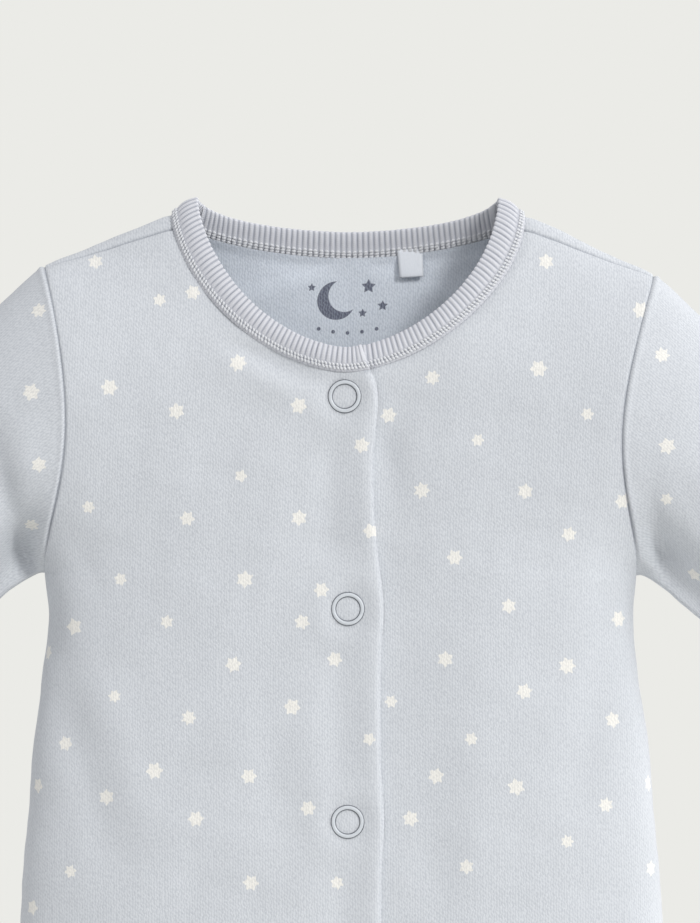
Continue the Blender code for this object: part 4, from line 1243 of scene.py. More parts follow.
# %% Node group: interlock knit
KNIT, cloth, result = new_group(
    "Interlock knit",
    (("Cloth", VECTOR, None), ("Wale Pitch", FLOAT, 0.00092), ("Course Pitch", FLOAT, 0.0014),
     ("Stagger", FLOAT, -0.52), ("Bead", FLOAT, 0.40), ("Wander", FLOAT, 0.0016)),
    (("Height", FLOAT), ("Gap", FLOAT), ("Mottle", FLOAT)))
drift = put(KNIT, "ShaderNodeTexNoise", {"Vector": cloth["Cloth"], "Scale": 620.0, "Detail": 2.0})
drift = calc(KNIT, "MULTIPLY", calc(KNIT, "SUBTRACT", drift.outputs["Fac"], 0.5), cloth["Wander"])
flat_place = put(KNIT, "ShaderNodeSeparateXYZ", {0: cloth["Cloth"]}).outputs
wale = calc(KNIT, "DIVIDE", calc(KNIT, "ADD", flat_place[0], drift), cloth["Wale Pitch"])
course = calc(KNIT, "DIVIDE", calc(KNIT, "ADD", flat_place[1], drift), cloth["Course Pitch"])
aside = calc(KNIT, "SUBTRACT", calc(KNIT, "FRACT", wale), 0.5)
ridge = calc(KNIT, "MULTIPLY", calc(KNIT, "MULTIPLY", aside, aside), -3.2)
ridge = calc(KNIT, "ADD", ridge, 1.0)
course = calc(KNIT, "MULTIPLY_ADD", calc(KNIT, "FLOOR", wale), cloth["Stagger"], course)
course = calc(KNIT, "MULTIPLY_ADD", aside, cloth["Stagger"], course)
bead = calc(KNIT, "COSINE", calc(KNIT, "MULTIPLY", course, 2 * math.pi))
bead = calc(KNIT, "MULTIPLY_ADD", bead, 0.5, 0.5)
bead = calc(KNIT, "MULTIPLY", calc(KNIT, "SUBTRACT", 1.0, bead), cloth["Bead"])
height = calc(KNIT, "MULTIPLY", ridge, calc(KNIT, "SUBTRACT", 1.0, bead))
yarn = put(KNIT, "ShaderNodeTexNoise", {"Vector": cloth["Cloth"], "Scale": 900.0, "Detail": 3.0})
height = calc(KNIT, "MULTIPLY", height, remap(KNIT, yarn.outputs["Fac"], 0.35, 0.65, 0.55, 1.15, "LINEAR"))
KNIT.links.new(height, result["Height"])
# Gap is 1 deep between the loops: the materials paint it darker as painted shade, and the print soaks less
# there
KNIT.links.new(remap(KNIT, height, 0.75, 0.0), result["Gap"])
broad = put(KNIT, "ShaderNodeTexNoise", {"Vector": cloth["Cloth"], "Scale": 38.0, "Detail": 2.0})
fine_share = calc(KNIT, "MULTIPLY", yarn.outputs["Fac"], 0.6)
mottle = calc(KNIT, "MULTIPLY_ADD", broad.outputs["Fac"], 0.4, fine_share)
KNIT.links.new(mottle, result["Mottle"])
print("knit group has", len(KNIT.nodes), "nodes")

# %% [markdown]
# ## Printed stars
#
# Each face corner carries its place within the nearest star, turned and scaled
# so that a tip lies at 1.  All of a star's tips look the same from its middle,
# so the angle is folded into half a point, and there the edge from tip to
# valley is one straight line.  Pigment soaks into the loops and not into the
# gaps between them, so the print's edge is slightly ragged.

# %% Node group: star print
STARS, spot, result = new_group(
    "Star print",
    (("Star", VECTOR, None), ("Valley", FLOAT, 0.63), ("Tip Round", FLOAT, 0.93),
     ("Ragged", FLOAT, 0.0), ("Edge", FLOAT, 0.06)),
    (("Print", FLOAT),))
x, y, points = put(STARS, "ShaderNodeSeparateXYZ", {0: spot["Star"]}).outputs
radius = calc(STARS, "SQRT", calc(STARS, "MULTIPLY_ADD", x, x, calc(STARS, "MULTIPLY", y, y)))
half = calc(STARS, "DIVIDE", math.pi, points)
angle = calc(STARS, "WRAP", calc(STARS, "ARCTAN2", y, x), half, calc(STARS, "MULTIPLY", half, -1.0))
angle = calc(STARS, "ABSOLUTE", angle)
along = calc(STARS, "MULTIPLY", radius, calc(STARS, "COSINE", angle))
aside = calc(STARS, "MULTIPLY", radius, calc(STARS, "SINE", angle))
valley_x = calc(STARS, "MULTIPLY", spot["Valley"], calc(STARS, "COSINE", half))
valley_y = calc(STARS, "MULTIPLY", spot["Valley"], calc(STARS, "SINE", half))
lean = calc(STARS, "SUBTRACT", 1.0, valley_x)
beyond = calc(STARS, "MULTIPLY", calc(STARS, "SUBTRACT", along, 1.0), valley_y)
beyond = calc(STARS, "MULTIPLY_ADD", aside, lean, beyond)
rise_squared = calc(STARS, "MULTIPLY", valley_y, valley_y)
line = calc(STARS, "SQRT", calc(STARS, "MULTIPLY_ADD", lean, lean, rise_squared))
beyond = calc(STARS, "DIVIDE", beyond, line)
beyond = calc(STARS, "MAXIMUM", beyond, calc(STARS, "SUBTRACT", radius, spot["Tip Round"]))
beyond = calc(STARS, "ADD", beyond, spot["Ragged"])
back_edge = calc(STARS, "MULTIPLY", spot["Edge"], -1.0)
STARS.links.new(remap(STARS, beyond, spot["Edge"], back_edge), result["Print"])
print("star group has", len(STARS.nodes), "nodes")

# %% [markdown]
# ## Neck print
#
# Many suits carry a small print inside the back of the neck instead of a sewn
# label.  This one is a plain crescent moon with a few stars and a row of dots.
# A crescent is one disc less another, so two distances are enough; the stars
# use the star group again.  The places are in metres on the flat back piece.

# %% Node group: neck print
MOON, MOON_RADIUS = (-0.0042, 0.0335), 0.0066
BITE, BITE_RADIUS = (-0.0014, 0.0318), 0.0056
Motif = namedtuple("Motif", "across down radius points")
MOTIFS = rows_of(
    Motif, (0.0068, 0.0286, 0.0026, 5.0), (0.0118, 0.0352, 0.0019, 5.0), (0.0050, 0.0378, 0.0016, 5.0),
    (-0.0128, 0.0290, 0.0015, 5.0))
DOTS = ((-0.0100, 0.0432), (-0.0050, 0.0442), (0, 0.0446), (0.0050, 0.0442), (0.0100, 0.0432))
DOT_RADIUS, INK_EDGE = 0.00065, 0.00012
PRINT, place_in, result = new_group("Neck print", (("Cloth", VECTOR, None),), (("Print", FLOAT),))


def disc(middle, radius):
    """1 inside a disc on the flat cloth, 0 outside it."""
    ends = {0: place_in["Cloth"], 1: (*middle, 0.0)}
    away = put(PRINT, "ShaderNodeVectorMath", ends, operation="DISTANCE")
    return remap(PRINT, away.outputs["Value"], radius + INK_EDGE, radius - INK_EDGE)


outside_bite = calc(PRINT, "SUBTRACT", 1.0, disc(BITE, BITE_RADIUS))
moon = calc(PRINT, "MULTIPLY", disc(MOON, MOON_RADIUS), outside_bite)
for motif in MOTIFS:
    away = put(PRINT, "ShaderNodeVectorMath", {0: place_in["Cloth"], 1: (motif.across, motif.down, 0.0)},
               operation="SUBTRACT").outputs["Vector"]
    away = put(PRINT, "ShaderNodeSeparateXYZ", {0: away}).outputs
    spot = put(PRINT, "ShaderNodeCombineXYZ", {0: calc(PRINT, "DIVIDE", away[1], -motif.radius),
                                               1: calc(PRINT, "DIVIDE", away[0], motif.radius),
                                               2: motif.points}).outputs[0]
    moon = calc(PRINT, "MAXIMUM", moon, use_group(PRINT, STARS, {"Star": spot, "Valley": 0.5})["Print"])
for middle in DOTS:
    moon = calc(PRINT, "MAXIMUM", moon, disc(middle, DOT_RADIUS))
PRINT.links.new(moon, result["Print"])
print("neck print group has", len(PRINT.nodes), "nodes")

# %% [markdown]
# ## Jersey
#
# The gaps between the loops are painted a little darker than their tops, as
# painted shade in these hollows.  The outside carries the print; the inside is
# the same cloth, unprinted, and softly brushed, so its loops are less sharp, and
# it is painted lighter than the outside, as painted light where little light
# reaches.  A little sheen stands for the fine fibres that catch the light where
# the cloth turns away.

# %% Jersey materials
BLUE = (0.610, 0.631, 0.657, 1)
# painted shade between the loops of the ground
BLUE_GAP_SHADE = (0.50, 0.523, 0.556, 1)
# The inside is painted lighter than the outside, as painted light for the shaded inside; its second colour is
# painted shade between the loops.
INSIDE_BLUE_PAINTED_LIGHTER = (0.765, 0.81, 0.87, 1)
INSIDE_GAP_SHADE_PAINTED_LIGHTER = (0.61, 0.66, 0.73, 1)
STAR_CREAM = (0.83, 0.81, 0.755, 1)
# painted shade between the loops of the stars
STAR_GAP_SHADE = (0.70, 0.69, 0.66, 1)
PAINTED_SEAM_SHADE = (0.30, 0.32, 0.36, 1)
INK = (0.105, 0.115, 0.165, 1)


def new_material(name, roughness, sheen=0.0):
    material = bpy.data.materials.new(name)
    material.use_nodes = True
    shader = material.node_tree.nodes["Principled BSDF"]
    shader.inputs["Roughness"].default_value = roughness
    shader.inputs["Specular IOR Level"].default_value = 0.25
    shader.inputs["Sheen Weight"].default_value = sheen
    return material, material.node_tree, shader


def knit_material(name, colour, gap_shade_colour, relief, sheen, printed):
    """Interlock jersey, plain or printed with stars or with the neck print."""
    material, tree, shader = new_material(name, 0.86, sheen)
    flat_place = put(tree, "ShaderNodeUVMap", None, uv_map="cloth").outputs["UV"]
    knit = use_group(tree, KNIT, {"Cloth": flat_place})
    # painted shade between the loops
    base = blend_colours(tree, knit["Gap"], colour, gap_shade_colour)
    if printed == "neck":
        mask = use_group(tree, PRINT, {"Cloth": flat_place})["Print"]
        soaked = calc(tree, "MULTIPLY_ADD", knit["Gap"], -0.3, 0.95)
        mask = calc(tree, "MULTIPLY", mask, soaked)
        base = blend_colours(tree, mask, base, INK)
    if printed == "stars":
        nearest = put(tree, "ShaderNodeAttribute", None, attribute_name="star").outputs["Vector"]
        ragged = calc(tree, "MULTIPLY_ADD", knit["Height"], -0.10, 0.05)
        ragged = calc(tree, "MULTIPLY_ADD", knit["Mottle"], 0.30, calc(tree, "SUBTRACT", ragged, 0.15))
        mask = use_group(tree, STARS, {"Star": nearest, "Ragged": ragged})["Print"]
        # the stars get the same painted shade between the loops
        ink = blend_colours(tree, knit["Gap"], STAR_CREAM, STAR_GAP_SHADE)
        base = blend_colours(tree, calc(tree, "MULTIPLY", mask, 0.96), base, ink)
    base = toned(tree, base, remap(tree, knit["Mottle"], 0.3, 0.7, 0.955, 1.03, "LINEAR"))
    # painted shade in the seams' grooves and under the neckband, from the seam attribute
    seam = put(tree, "ShaderNodeAttribute", None, attribute_name="seam").outputs["Fac"]
    base = blend_colours(tree, calc(tree, "MULTIPLY", seam, 0.6), base, PAINTED_SEAM_SHADE)
    cover(tree, shader, base, knit["Height"], relief)
    return material


JERSEY = knit_material("jersey_printed", BLUE, BLUE_GAP_SHADE, 0.00006, 0.12, "stars")
JERSEY_INSIDE = knit_material("jersey_inside", INSIDE_BLUE_PAINTED_LIGHTER, INSIDE_GAP_SHADE_PAINTED_LIGHTER, 0.00005, 0.1, "")
BACK_INSIDE = knit_material("jersey_back_inside", INSIDE_BLUE_PAINTED_LIGHTER, INSIDE_GAP_SHADE_PAINTED_LIGHTER, 0.00005, 0.1, "neck")
print("materials:", JERSEY.name, JERSEY_INSIDE.name, BACK_INSIDE.name)

# %% [markdown]
# ## The jersey pieces
#
# Fronts, back, sleeves, foot uppers and soles are each one closed wall now.
# Every piece takes the place of the plain wall of the same name.

# %% Jersey pieces
for name, parts in outers.items():
    piece = shell(name, parts, WALL, JERSEY, BACK_INSIDE if name == "back" else JERSEY_INSIDE, stars[name])
    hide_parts(name)
    print(name, len(piece.data.polygons), "faces")

# %% [markdown]
# ## The neckband
#
# The band is a strip of rib, folded in half along its top and sewn on a little
# stretched, so it stands in to the neck.  It follows two loops: the neck seam
# below, and the fold above, which is shorter, stands higher over the shoulders
# and leans back at the overlapping end.

# %% Loops of the neckband
BAND_END_SLANT, SLANT_TURN = 0.72, 12  # the end leans back, over this turn
SHOULDER_RISE, SHOULDER_SPREAD = 1.7, 30  # the fold stands higher over the shoulder seams
LOOP_POINTS = 900  # on each half of a loop


def band_loop(loop, slant):
    """Points along one loop of the band, from the right end round to the left one."""
    turns = np.concatenate([np.linspace(-RIGHT_END, 180, LOOP_POINTS),
                            np.linspace(180, -LEFT_END, LOOP_POINTS)[1:]])
    sides = np.where(np.arange(len(turns)) < LOOP_POINTS, -1, 1)
    own = neck_point(loop, turns)
    if slant:
        lean = np.where(sides < 0, ease((turns + RIGHT_END) / SLANT_TURN), 1.0)
        own[..., 0] *= mix(BAND_END_SLANT, 1, lean)
        own[..., 2] += SHOULDER_RISE * bell(turns - 90, SHOULDER_SPREAD)
    points = np.where((sides > 0)[:, None], place(own, 1), place(own, -1))
    points[:, 1] += np.where(sides > 0, lap_sink(own), 0)
    return points


def along(points):
    """Running length of a line of points."""
    steps = np.linalg.norm(np.diff(points, axis=0), axis=1)
    return np.concatenate([[0], np.cumsum(steps)])


def resample(points, lengths, at):
    return np.stack([np.interp(at, lengths, points[:, axis]) for axis in range(3)], -1)


SEAM_LINE = band_loop(NECK_SEAM, False)
TOP_LINE = band_loop(BAND_TOP, True)
SEAM_RUN = along(SEAM_LINE)
print("the neck seam is", round(SEAM_RUN[-1]), "mm round, the fold", round(along(TOP_LINE)[-1]), "mm")

# %% [markdown]
# A rib is a round crest between two narrow furrows.  Each one is eight columns
# wide, and each column runs up from the seam to the fold.  In front the ribs
# fan out with the neck's curve; behind, where the strip was stretched evenly
# before it was sewn, they stand nearly upright.

# %% Columns of the neckband
RIB_PITCH, RIB_COLUMNS = 1.93, 8
BACK_POINTS = 440  # loop points on either side of centre back
UPRIGHT, UPRIGHT_FROM, UPRIGHT_OVER = 0.8, 98, 40  # share, and degrees from centre front
RIB_COUNT = round(SEAM_RUN[-1] / RIB_PITCH)
BAND_AT = np.linspace(0, SEAM_RUN[-1], RIB_COUNT * RIB_COLUMNS + 1)
BAND_SEAM = resample(SEAM_LINE, SEAM_RUN, BAND_AT)
MIDDLE = len(SEAM_LINE) // 2  # the point at centre back
BEHIND = np.arange(MIDDLE - BACK_POINTS, MIDDLE + BACK_POINTS + 1)
at_point = np.interp(BAND_AT, SEAM_RUN, np.arange(len(SEAM_RUN)))
turned = 180 - np.abs(at_point - MIDDLE) * (180 + RIGHT_END) / MIDDLE
upright = np.interp(BAND_SEAM[:, 0], TOP_LINE[BEHIND, 0], BEHIND)
at_point = mix(at_point, upright, UPRIGHT * ease((turned - UPRIGHT_FROM) / UPRIGHT_OVER))
BAND_EDGE = resample(TOP_LINE, np.arange(len(TOP_LINE)), at_point)
rise = BAND_EDGE - BAND_SEAM
BAND_HEIGHT = np.linalg.norm(rise, axis=1)
BAND_UP = rise / BAND_HEIGHT[:, None]
forward = np.gradient(BAND_SEAM + BAND_EDGE, axis=0)
BAND_OUT = np.cross(BAND_UP, forward)
BAND_OUT /= np.linalg.norm(BAND_OUT, axis=1)[:, None]
if BAND_OUT[len(BAND_OUT) // 2, 1] < 0:
    BAND_OUT = -BAND_OUT
print(RIB_COUNT, "ribs around", round(SEAM_RUN[-1]), "mm; band", BAND_HEIGHT.min().round(1), "to",
      BAND_HEIGHT.max().round(1), "mm high")


def band_point(columns, height, out):
    """Point of the band: a share of its height above the seam, and a distance out."""
    return (BAND_SEAM[columns] + BAND_UP[columns] * (BAND_HEIGHT[columns] * height)[:, None]
            + BAND_OUT[columns] * np.asarray(out).reshape(-1, 1))

# %% [markdown]
# Seen from its end, the strip is a slim loop: flat under the stitches, full in
# the middle, round over the fold and flat inside.  A few listed rows draw it,
# and the fold between them is half a circle.

# %% Profile of the neckband
BandRow = namedtuple("BandRow", "height out")  # share of the band's height, and distance out
BAND_OUTSIDE = rows_of(
    BandRow, (-0.07, -0.45), (-0.02, 0.10), (0.05, 0.38), (0.15, 0.50), (0.24, 0.66), (0.32, 0.98),
    (0.42, 1.24), (0.55, 1.34), (0.68, 1.22), (0.80, 0.96), (0.89, 0.62))
BAND_INSIDE = rows_of(
    BandRow, (0.905, -1.22), (0.82, -1.40), (0.66, -1.54), (0.48, -1.60), (0.32, -1.58), (0.20, -1.52),
    (0.10, -1.46), (0.03, -1.36), (-0.05, -1.05))
FOLD_STEPS = 7


def fold_rows():
    """Rows over the folded top, from the outside to the inside."""
    first, last = BAND_OUTSIDE[-1], BAND_INSIDE[0]
    middle = (first.out + last.out) / 2
    radius = (first.out - last.out) / 2
    rows = []
    for step in range(1, FOLD_STEPS):
        angle = math.pi * step / FOLD_STEPS
        height = first.height + (1 - first.height) * math.sin(angle)
        rows.append(BandRow(height, middle + radius * math.cos(angle)))
    return tuple(rows)


BAND_PROFILE = BAND_OUTSIDE + fold_rows() + BAND_INSIDE
print("the profile has", len(BAND_PROFILE), "rows")

# %% [markdown]
# The ribs' relief moves each row of the profile out or in, and over the fold
# up or down.  It nearly vanishes under the stitching.  How deep a point lies is
# kept too, so the material can darken the furrows as real ones are darkened by
# their own walls.

# %% Ribs
RIB_SINK = 0.40  # depth of a furrow
RIB_ROUND, DEEP_ROUND = 1.8, 1.5  # how narrow the furrows and their shades are
CREST_STRAY = 0.045  # no two ribs stand equally high
BAND_TALL = 9  # about the band's height
STITCHED, FREE_OVER = 2, 1.2  # the stitches press the ribs up to this height
PRESSED_LEFT, PRESSED_DEEP = 0.25, 0.5  # shares of relief and shade that stay there
# Painted shade along the seam under the stitches, stronger outside than inside, carried in the attribute
# deep.
STITCH_SHADE = (0.85, 0.40)  # shade under the stitches, outside and inside
STITCH_SHADE_AT, STITCH_SHADE_WIDTH = 1.2, 1
MIDDLE_OUT, FOLD_BEND = -0.4, 0.7  # middle of the doubled strip, and how wide the fold turns
BAND_END_ROUND, BAND_END_PLAIN, BAND_END_CLOSED = 1.9, 3.4, 0.9
columns = np.arange(len(BAND_AT))
phase = columns % RIB_COLUMNS / RIB_COLUMNS
furrow = np.abs(2 * phase - 1) ** RIB_ROUND
plain = ease(BAND_AT / BAND_END_PLAIN)  # the end has no ribs
closing = np.clip(1 - BAND_AT / BAND_END_ROUND, 0, 1)
end_round = 1 - np.sqrt(1 - closing ** 2)  # and rounds over
rib_rng = np.random.default_rng(3)
crest = rib_rng.normal(0, CREST_STRAY, RIB_COUNT + 1)[columns // RIB_COLUMNS]
band_rows, deep_rows = [], []
for number, row in enumerate(BAND_PROFILE):
    height_mm = row.height * BAND_TALL
    free = max(ease((height_mm - STITCHED) / FREE_OVER), PRESSED_LEFT)
    if number == 0 or number == len(BAND_PROFILE) - 1:
        free = 0.0
    way = float(np.clip((row.out - MIDDLE_OUT) / FOLD_BEND, -1, 1))
    relief = (crest - RIB_SINK * furrow) * free * plain
    out = mix(row.out, MIDDLE_OUT, end_round * BAND_END_CLOSED)
    height = row.height + relief * (1 - abs(way)) / BAND_HEIGHT
    band_rows.append(band_point(columns, height, out + relief * way))
    # painted shade under the stitches joins the furrows' shade
    stitch_shade = STITCH_SHADE[way < 0] * math.exp(-((height_mm - STITCH_SHADE_AT) / STITCH_SHADE_WIDTH) ** 2)
    deep_rows.append(np.maximum(furrow ** DEEP_ROUND * max(free, PRESSED_DEEP) * plain, stitch_shade))
print("furrows", RIB_SINK, "mm deep over", len(band_rows), "rows")

# %% [markdown]
# The rows close into a tube around the strip, with a flat end at either side
# of the overlap.  Its flat cut runs along the seam and around the profile.

# %% Mesh of the neckband
BAND_SHARP = math.radians(75)
points = np.array(band_rows)
order = np.arange(points.shape[0] * points.shape[1]).reshape(points.shape[:2])
below, above = order, np.roll(order, -1, axis=0)
faces = np.stack([below[:, :-1], above[:, :-1], above[:, 1:], below[:, 1:]], -1).reshape(-1, 4)
ends = [order[:, 0].tolist(), order[::-1, -1].tolist()]
band_mesh = new_mesh("neckband", points.reshape(-1, 3), faces.tolist() + ends)
deep = band_mesh.attributes.new("deep", "FLOAT", "POINT")
deep.data.foreach_set("value", np.array(deep_rows).astype(np.float32).ravel())
layer = band_mesh.uv_layers.new(name="cloth")
profile_run = along(points[:, 0])
flats = np.stack(np.broadcast_arrays(BAND_AT[None, :], profile_run[:, None]), -1).reshape(-1, 2)
loops = np.array([corner for face in faces.tolist() + ends for corner in face])
layer.uv.foreach_set("vector", (flats[loops] * MM).astype(np.float32).ravel())
band_mesh.set_sharp_from_angle(angle=BAND_SHARP)
print("neckband:", len(band_mesh.polygons), "faces")

# %% [markdown]
# The band is knitted of the same yarn as the body, in ribs.  The mesh carries
# the ribs themselves and hands over how deep each point lies in a furrow, as
# the attribute "deep": fibres there get little light and look darker.

# %% Rib material
RIB_CREST = (0.655, 0.660, 0.690, 1)
RIB_FURROW = (0.37, 0.385, 0.43, 1)
RIB, tree, shader = new_material("rib", 0.88, 0.12)
deepness = put(tree, "ShaderNodeAttribute", None, attribute_name="deep").outputs["Fac"]
flat_place = put(tree, "ShaderNodeUVMap", None, uv_map="cloth").outputs["UV"]
knit = use_group(tree, KNIT, {"Cloth": flat_place, "Wale Pitch": RIB_PITCH * MM / 2, "Course Pitch": 0.0006,
                              "Stagger": 0.5, "Bead": 0.7, "Wander": 0.00004})
# Painted shade: the furrows, and the line under the stitches, are mixed towards the furrow colour.
base = blend_colours(tree, remap(tree, deepness, 0.0, 0.75, way="LINEAR"), RIB_CREST, RIB_FURROW)
# painted shade between the knit's loops, mixed towards the furrow colour
base = blend_colours(tree, calc(tree, "MULTIPLY", knit["Gap"], 0.16), base, RIB_FURROW)
cover(tree, shader, base, knit["Height"], 0.00006)
neckband = new_piece("neckband", band_mesh, RIB)
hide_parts("neckband")
print("neckband wears", RIB.name)

# %% [markdown]
# ## Coverstitch
#
# The seam allowance is flattened by a coverstitch: two needle rows with a
# looper thread between them.  Outside it reads as short slanted stitches, and
# inside, across the back of the neck, as three rows of plump knots.  A real
# thread could be swept along a curve, but so small a stitch is little more
# than a rounded grain, so each one is a stretched ball, joined into one mesh.

# %% Ball for a stitch
def ball(rings=5, spokes=8):
    """Unit ball: its points and faces."""
    points = [(0, 0, 1)]
    for ring in range(1, rings):
        polar = math.pi * ring / rings
        for spoke in range(spokes):
            turn = 2 * math.pi * spoke / spokes
            girth = math.sin(polar)
            points.append((girth * math.cos(turn), girth * math.sin(turn), math.cos(polar)))
    points.append((0, 0, -1))
    faces = []
    for spoke in range(spokes):
        after = (spoke + 1) % spokes
        faces.append([0, 1 + spoke, 1 + after])
        for ring in range(rings - 2):
            low, high = 1 + ring * spokes, 1 + (ring + 1) * spokes
            faces.append([low + spoke, high + spoke, high + after, low + after])
        last = 1 + (rings - 2) * spokes
        faces.append([last + spoke, len(points) - 1, last + after])
    return np.array(points, float), faces


def stitch_mesh(name, frames, material):
    """Joins one ball for each frame: centre, and its three half axes."""
    unit, unit_faces = ball()
    points, faces = [], []
    for centre, long_axis, wide_axis, high_axis in frames:
        start = len(points) * len(unit)
        points.append(centre + unit[:, :1] * long_axis + unit[:, 1:2] * wide_axis + unit[:, 2:] * high_axis)
        faces += [[corner + start for corner in face] for face in unit_faces]
    new_piece(name, new_mesh(name, np.concatenate(points), faces), material)


print("a stitch has", len(ball()[0]), "points")

# %% [markdown]
# The thread is spun polyester, a little lighter than the rib.  Its twist is
# finer than the stitch's mesh, so a noise gives it as a bump and as a faint
# change of tone.

# %% Thread
THREAD, tree, shader = new_material("thread", 0.6)
fuzz = object_noise(tree, 2600.0, 2.0)
base = toned(tree, (0.71, 0.72, 0.74, 1.0), remap(tree, fuzz, 0.3, 0.7, 0.86, 1.0, "LINEAR"))
cover(tree, shader, base, fuzz, 0.00008, 0.8)
print("material:", THREAD.name)

# %% [markdown]
# Outside, two rows of slanted stitches follow the seam, the upper one a quarter
# of a stitch further along.  Each stitch strays a little in place and tilt, as
# the machine's do.

# %% Outer stitches
FRAME_REACH = 3  # columns on either side that give the seam's direction
OUTER_PITCH, OUTER_TILT, OUTER_HIGH = 1.28, math.radians(50), 0.42
OUTER_STRAY, TILT_STRAY = 0.04, 0.08
STITCH_CLEAR = 0.6  # no stitch lies nearer to the band's ends
OuterRow = namedtuple("OuterRow", "height lift long wide shift")
OUTER_ROWS = rows_of(
    OuterRow, (0.64, 0.42, 0.80, 0.50, 0.0), (1.66, 0.60, 0.74, 0.46, 0.25))
stitch_rng = np.random.default_rng(11)


def band_frame(at):
    """Seam point, up, out and forward at a length along the seam."""
    column = int(np.clip(round(at / BAND_AT[1]), 0, len(BAND_AT) - 1))
    before, after = max(column - FRAME_REACH, 0), min(column + FRAME_REACH, len(BAND_AT) - 1)
    forward = BAND_SEAM[after] - BAND_SEAM[before]
    return BAND_SEAM[column], BAND_UP[column], BAND_OUT[column], forward / np.linalg.norm(forward)


def tilted(forward, up, tilt, long, wide):
    """The two half axes of a stitch that leans by a tilt from the seam's direction."""
    return ((forward * math.cos(tilt) + up * math.sin(tilt)) * long,
            (up * math.cos(tilt) - forward * math.sin(tilt)) * wide)


frames = []
for row in OUTER_ROWS:
    for number in range(int(SEAM_RUN[-1] / OUTER_PITCH)):
        at = (number + 0.5 + row.shift) * OUTER_PITCH + stitch_rng.normal(0, OUTER_STRAY)
        if not STITCH_CLEAR < at < SEAM_RUN[-1] - STITCH_CLEAR:
            continue
        seam_point, up, out, forward = band_frame(at)
        centre = seam_point + up * row.height + out * row.lift
        tilt = OUTER_TILT + stitch_rng.normal(0, TILT_STRAY)
        frames.append((centre, *tilted(forward, up, tilt, row.long, row.wide), out * OUTER_HIGH))
stitch_mesh("neck_coverstitch", frames, THREAD)
print(len(frames), "outer stitches")

# %% [markdown]
# Inside, the same seam shows its loopers: three rows of soft knots that cover
# the raw edge.  Each knot is a small ellipsoid, set a little askew, because
# the threads are slack there.

# %% Knots inside the neck
KNOT_HIGH, KNOT_STRAY, KNOT_RISE_STRAY = 0.34, 0.06, 0.05
KNOT_TILT, KNOT_TILT_STRAY = 0.25, 0.15
InnerRow = namedtuple("InnerRow", "height long wide lift")
INNER_ROWS = rows_of(
    InnerRow, (2.20, 0.78, 0.56, 1.72), (1.30, 0.86, 0.62, 1.70), (0.40, 0.84, 0.56, 1.62))
frames = []
for row in INNER_ROWS:
    for rib in range(RIB_COUNT):
        at = (rib + 0.5) * BAND_AT[-1] / RIB_COUNT + stitch_rng.normal(0, KNOT_STRAY)
        seam_point, up, out, forward = band_frame(at)
        height = row.height + stitch_rng.normal(0, KNOT_RISE_STRAY)
        tilt = stitch_rng.normal(KNOT_TILT, KNOT_TILT_STRAY)
        axes = tilted(forward, up, tilt, row.long, row.wide)
        frames.append((seam_point + up * height - out * row.lift, *axes, out * KNOT_HIGH))
stitch_mesh("neck_knots", frames, THREAD)
print(len(frames), "inner knots")

# %% [markdown]
# ## Cuff hems
#
# Each cuff is turned in and held by a twin needle: two even rows of straight
# stitches outside, a hem's width from the edge.  The stitches pull the cloth
# in a little, so they sit low and the hem swells beyond them.

# %% Hem stitches
HEM_PITCH, HEM_ROWS_AT = 2.6, (0.2, 2.6)  # rows, measured from the hem's edge up the sleeve
HEM_LONG, HEM_THICK, HEM_PROUD = 0.95, 0.2, 0.08
frames = []
for name in ("sleeve_right", "sleeve_left"):
    skin = outers[name][0]
    depth_in = edge_distances(skin.points)["end"].mean(1)
    for row_at in HEM_ROWS_AT:
        row = int(np.abs(depth_in - CUFF_HEM - row_at).argmin())
        loop, away = skin.points[row], skin.normals[row]
        run = along(loop)
        places = np.arange(HEM_PITCH / 2, run[-1], HEM_PITCH)
        centres = resample(loop, run, places)
        outward = resample(away, run, places)
        ways = resample(np.gradient(loop, run, axis=0), run, places)
        for centre, out, way in zip(centres, outward, ways):
            way = way / np.linalg.norm(way)
            frames.append((centre + out * HEM_PROUD, way * HEM_LONG,
                           np.cross(out, way) * HEM_THICK, out * HEM_THICK))
stitch_mesh("cuff_stitches", frames, THREAD)
print(len(frames), "hem stitches")

# %% [markdown]
# ## Snaps
#
# An open-ring snap shows a thin enamelled ring on the outside, with the cloth
# bulging softly through its middle.  Its prongs bite through the cloth, so it
# sits nearly flush.  A turned profile gives the ring: two steep walls and a
# flat, rounded top.  The ring is laid on the finished cloth, tilted as the
# placket is tilted there.

# %% Ring mesh
SPOT_REACH, SOFTEN = 3, 0.05  # cloth points that count, and how evenly
RING_SHARP = math.radians(50)
SNAP_OUTER, SNAP_INNER = 5.75, 3.95
RING_MIDDLE = (SNAP_OUTER + SNAP_INNER) / 2
RingPoint = namedtuple("RingPoint", "radius lift wall")
RING = rows_of(
    RingPoint, (SNAP_INNER, -0.6, True), (SNAP_INNER + 0.04, 0.22, True), (SNAP_INNER + 0.34, 0.34, True),
    (SNAP_INNER + 0.46, 0.48, False), (RING_MIDDLE, 0.55, False), (SNAP_OUTER - 0.42, 0.48, False),
    (SNAP_OUTER - 0.30, 0.36, True), (SNAP_OUTER - 0.04, 0.22, True), (SNAP_OUTER, -0.6, True))
RING_SEGMENTS = 96
FRONT_POINTS = outers["front_right"][0].points


def front_depth(across, down):
    """Depth of the right front's finished outer face, from its nearest points."""
    near = np.abs(FRONT_POINTS[..., 0] - across) < SPOT_REACH
    near &= np.abs(-FRONT_POINTS[..., 2] - down) < SPOT_REACH
    spots = FRONT_POINTS[near]
    weight = 1 / (SOFTEN + (spots[:, 0] - across) ** 2 + (spots[:, 2] + down) ** 2)
    return (spots[:, 1] * weight).sum() / weight.sum()


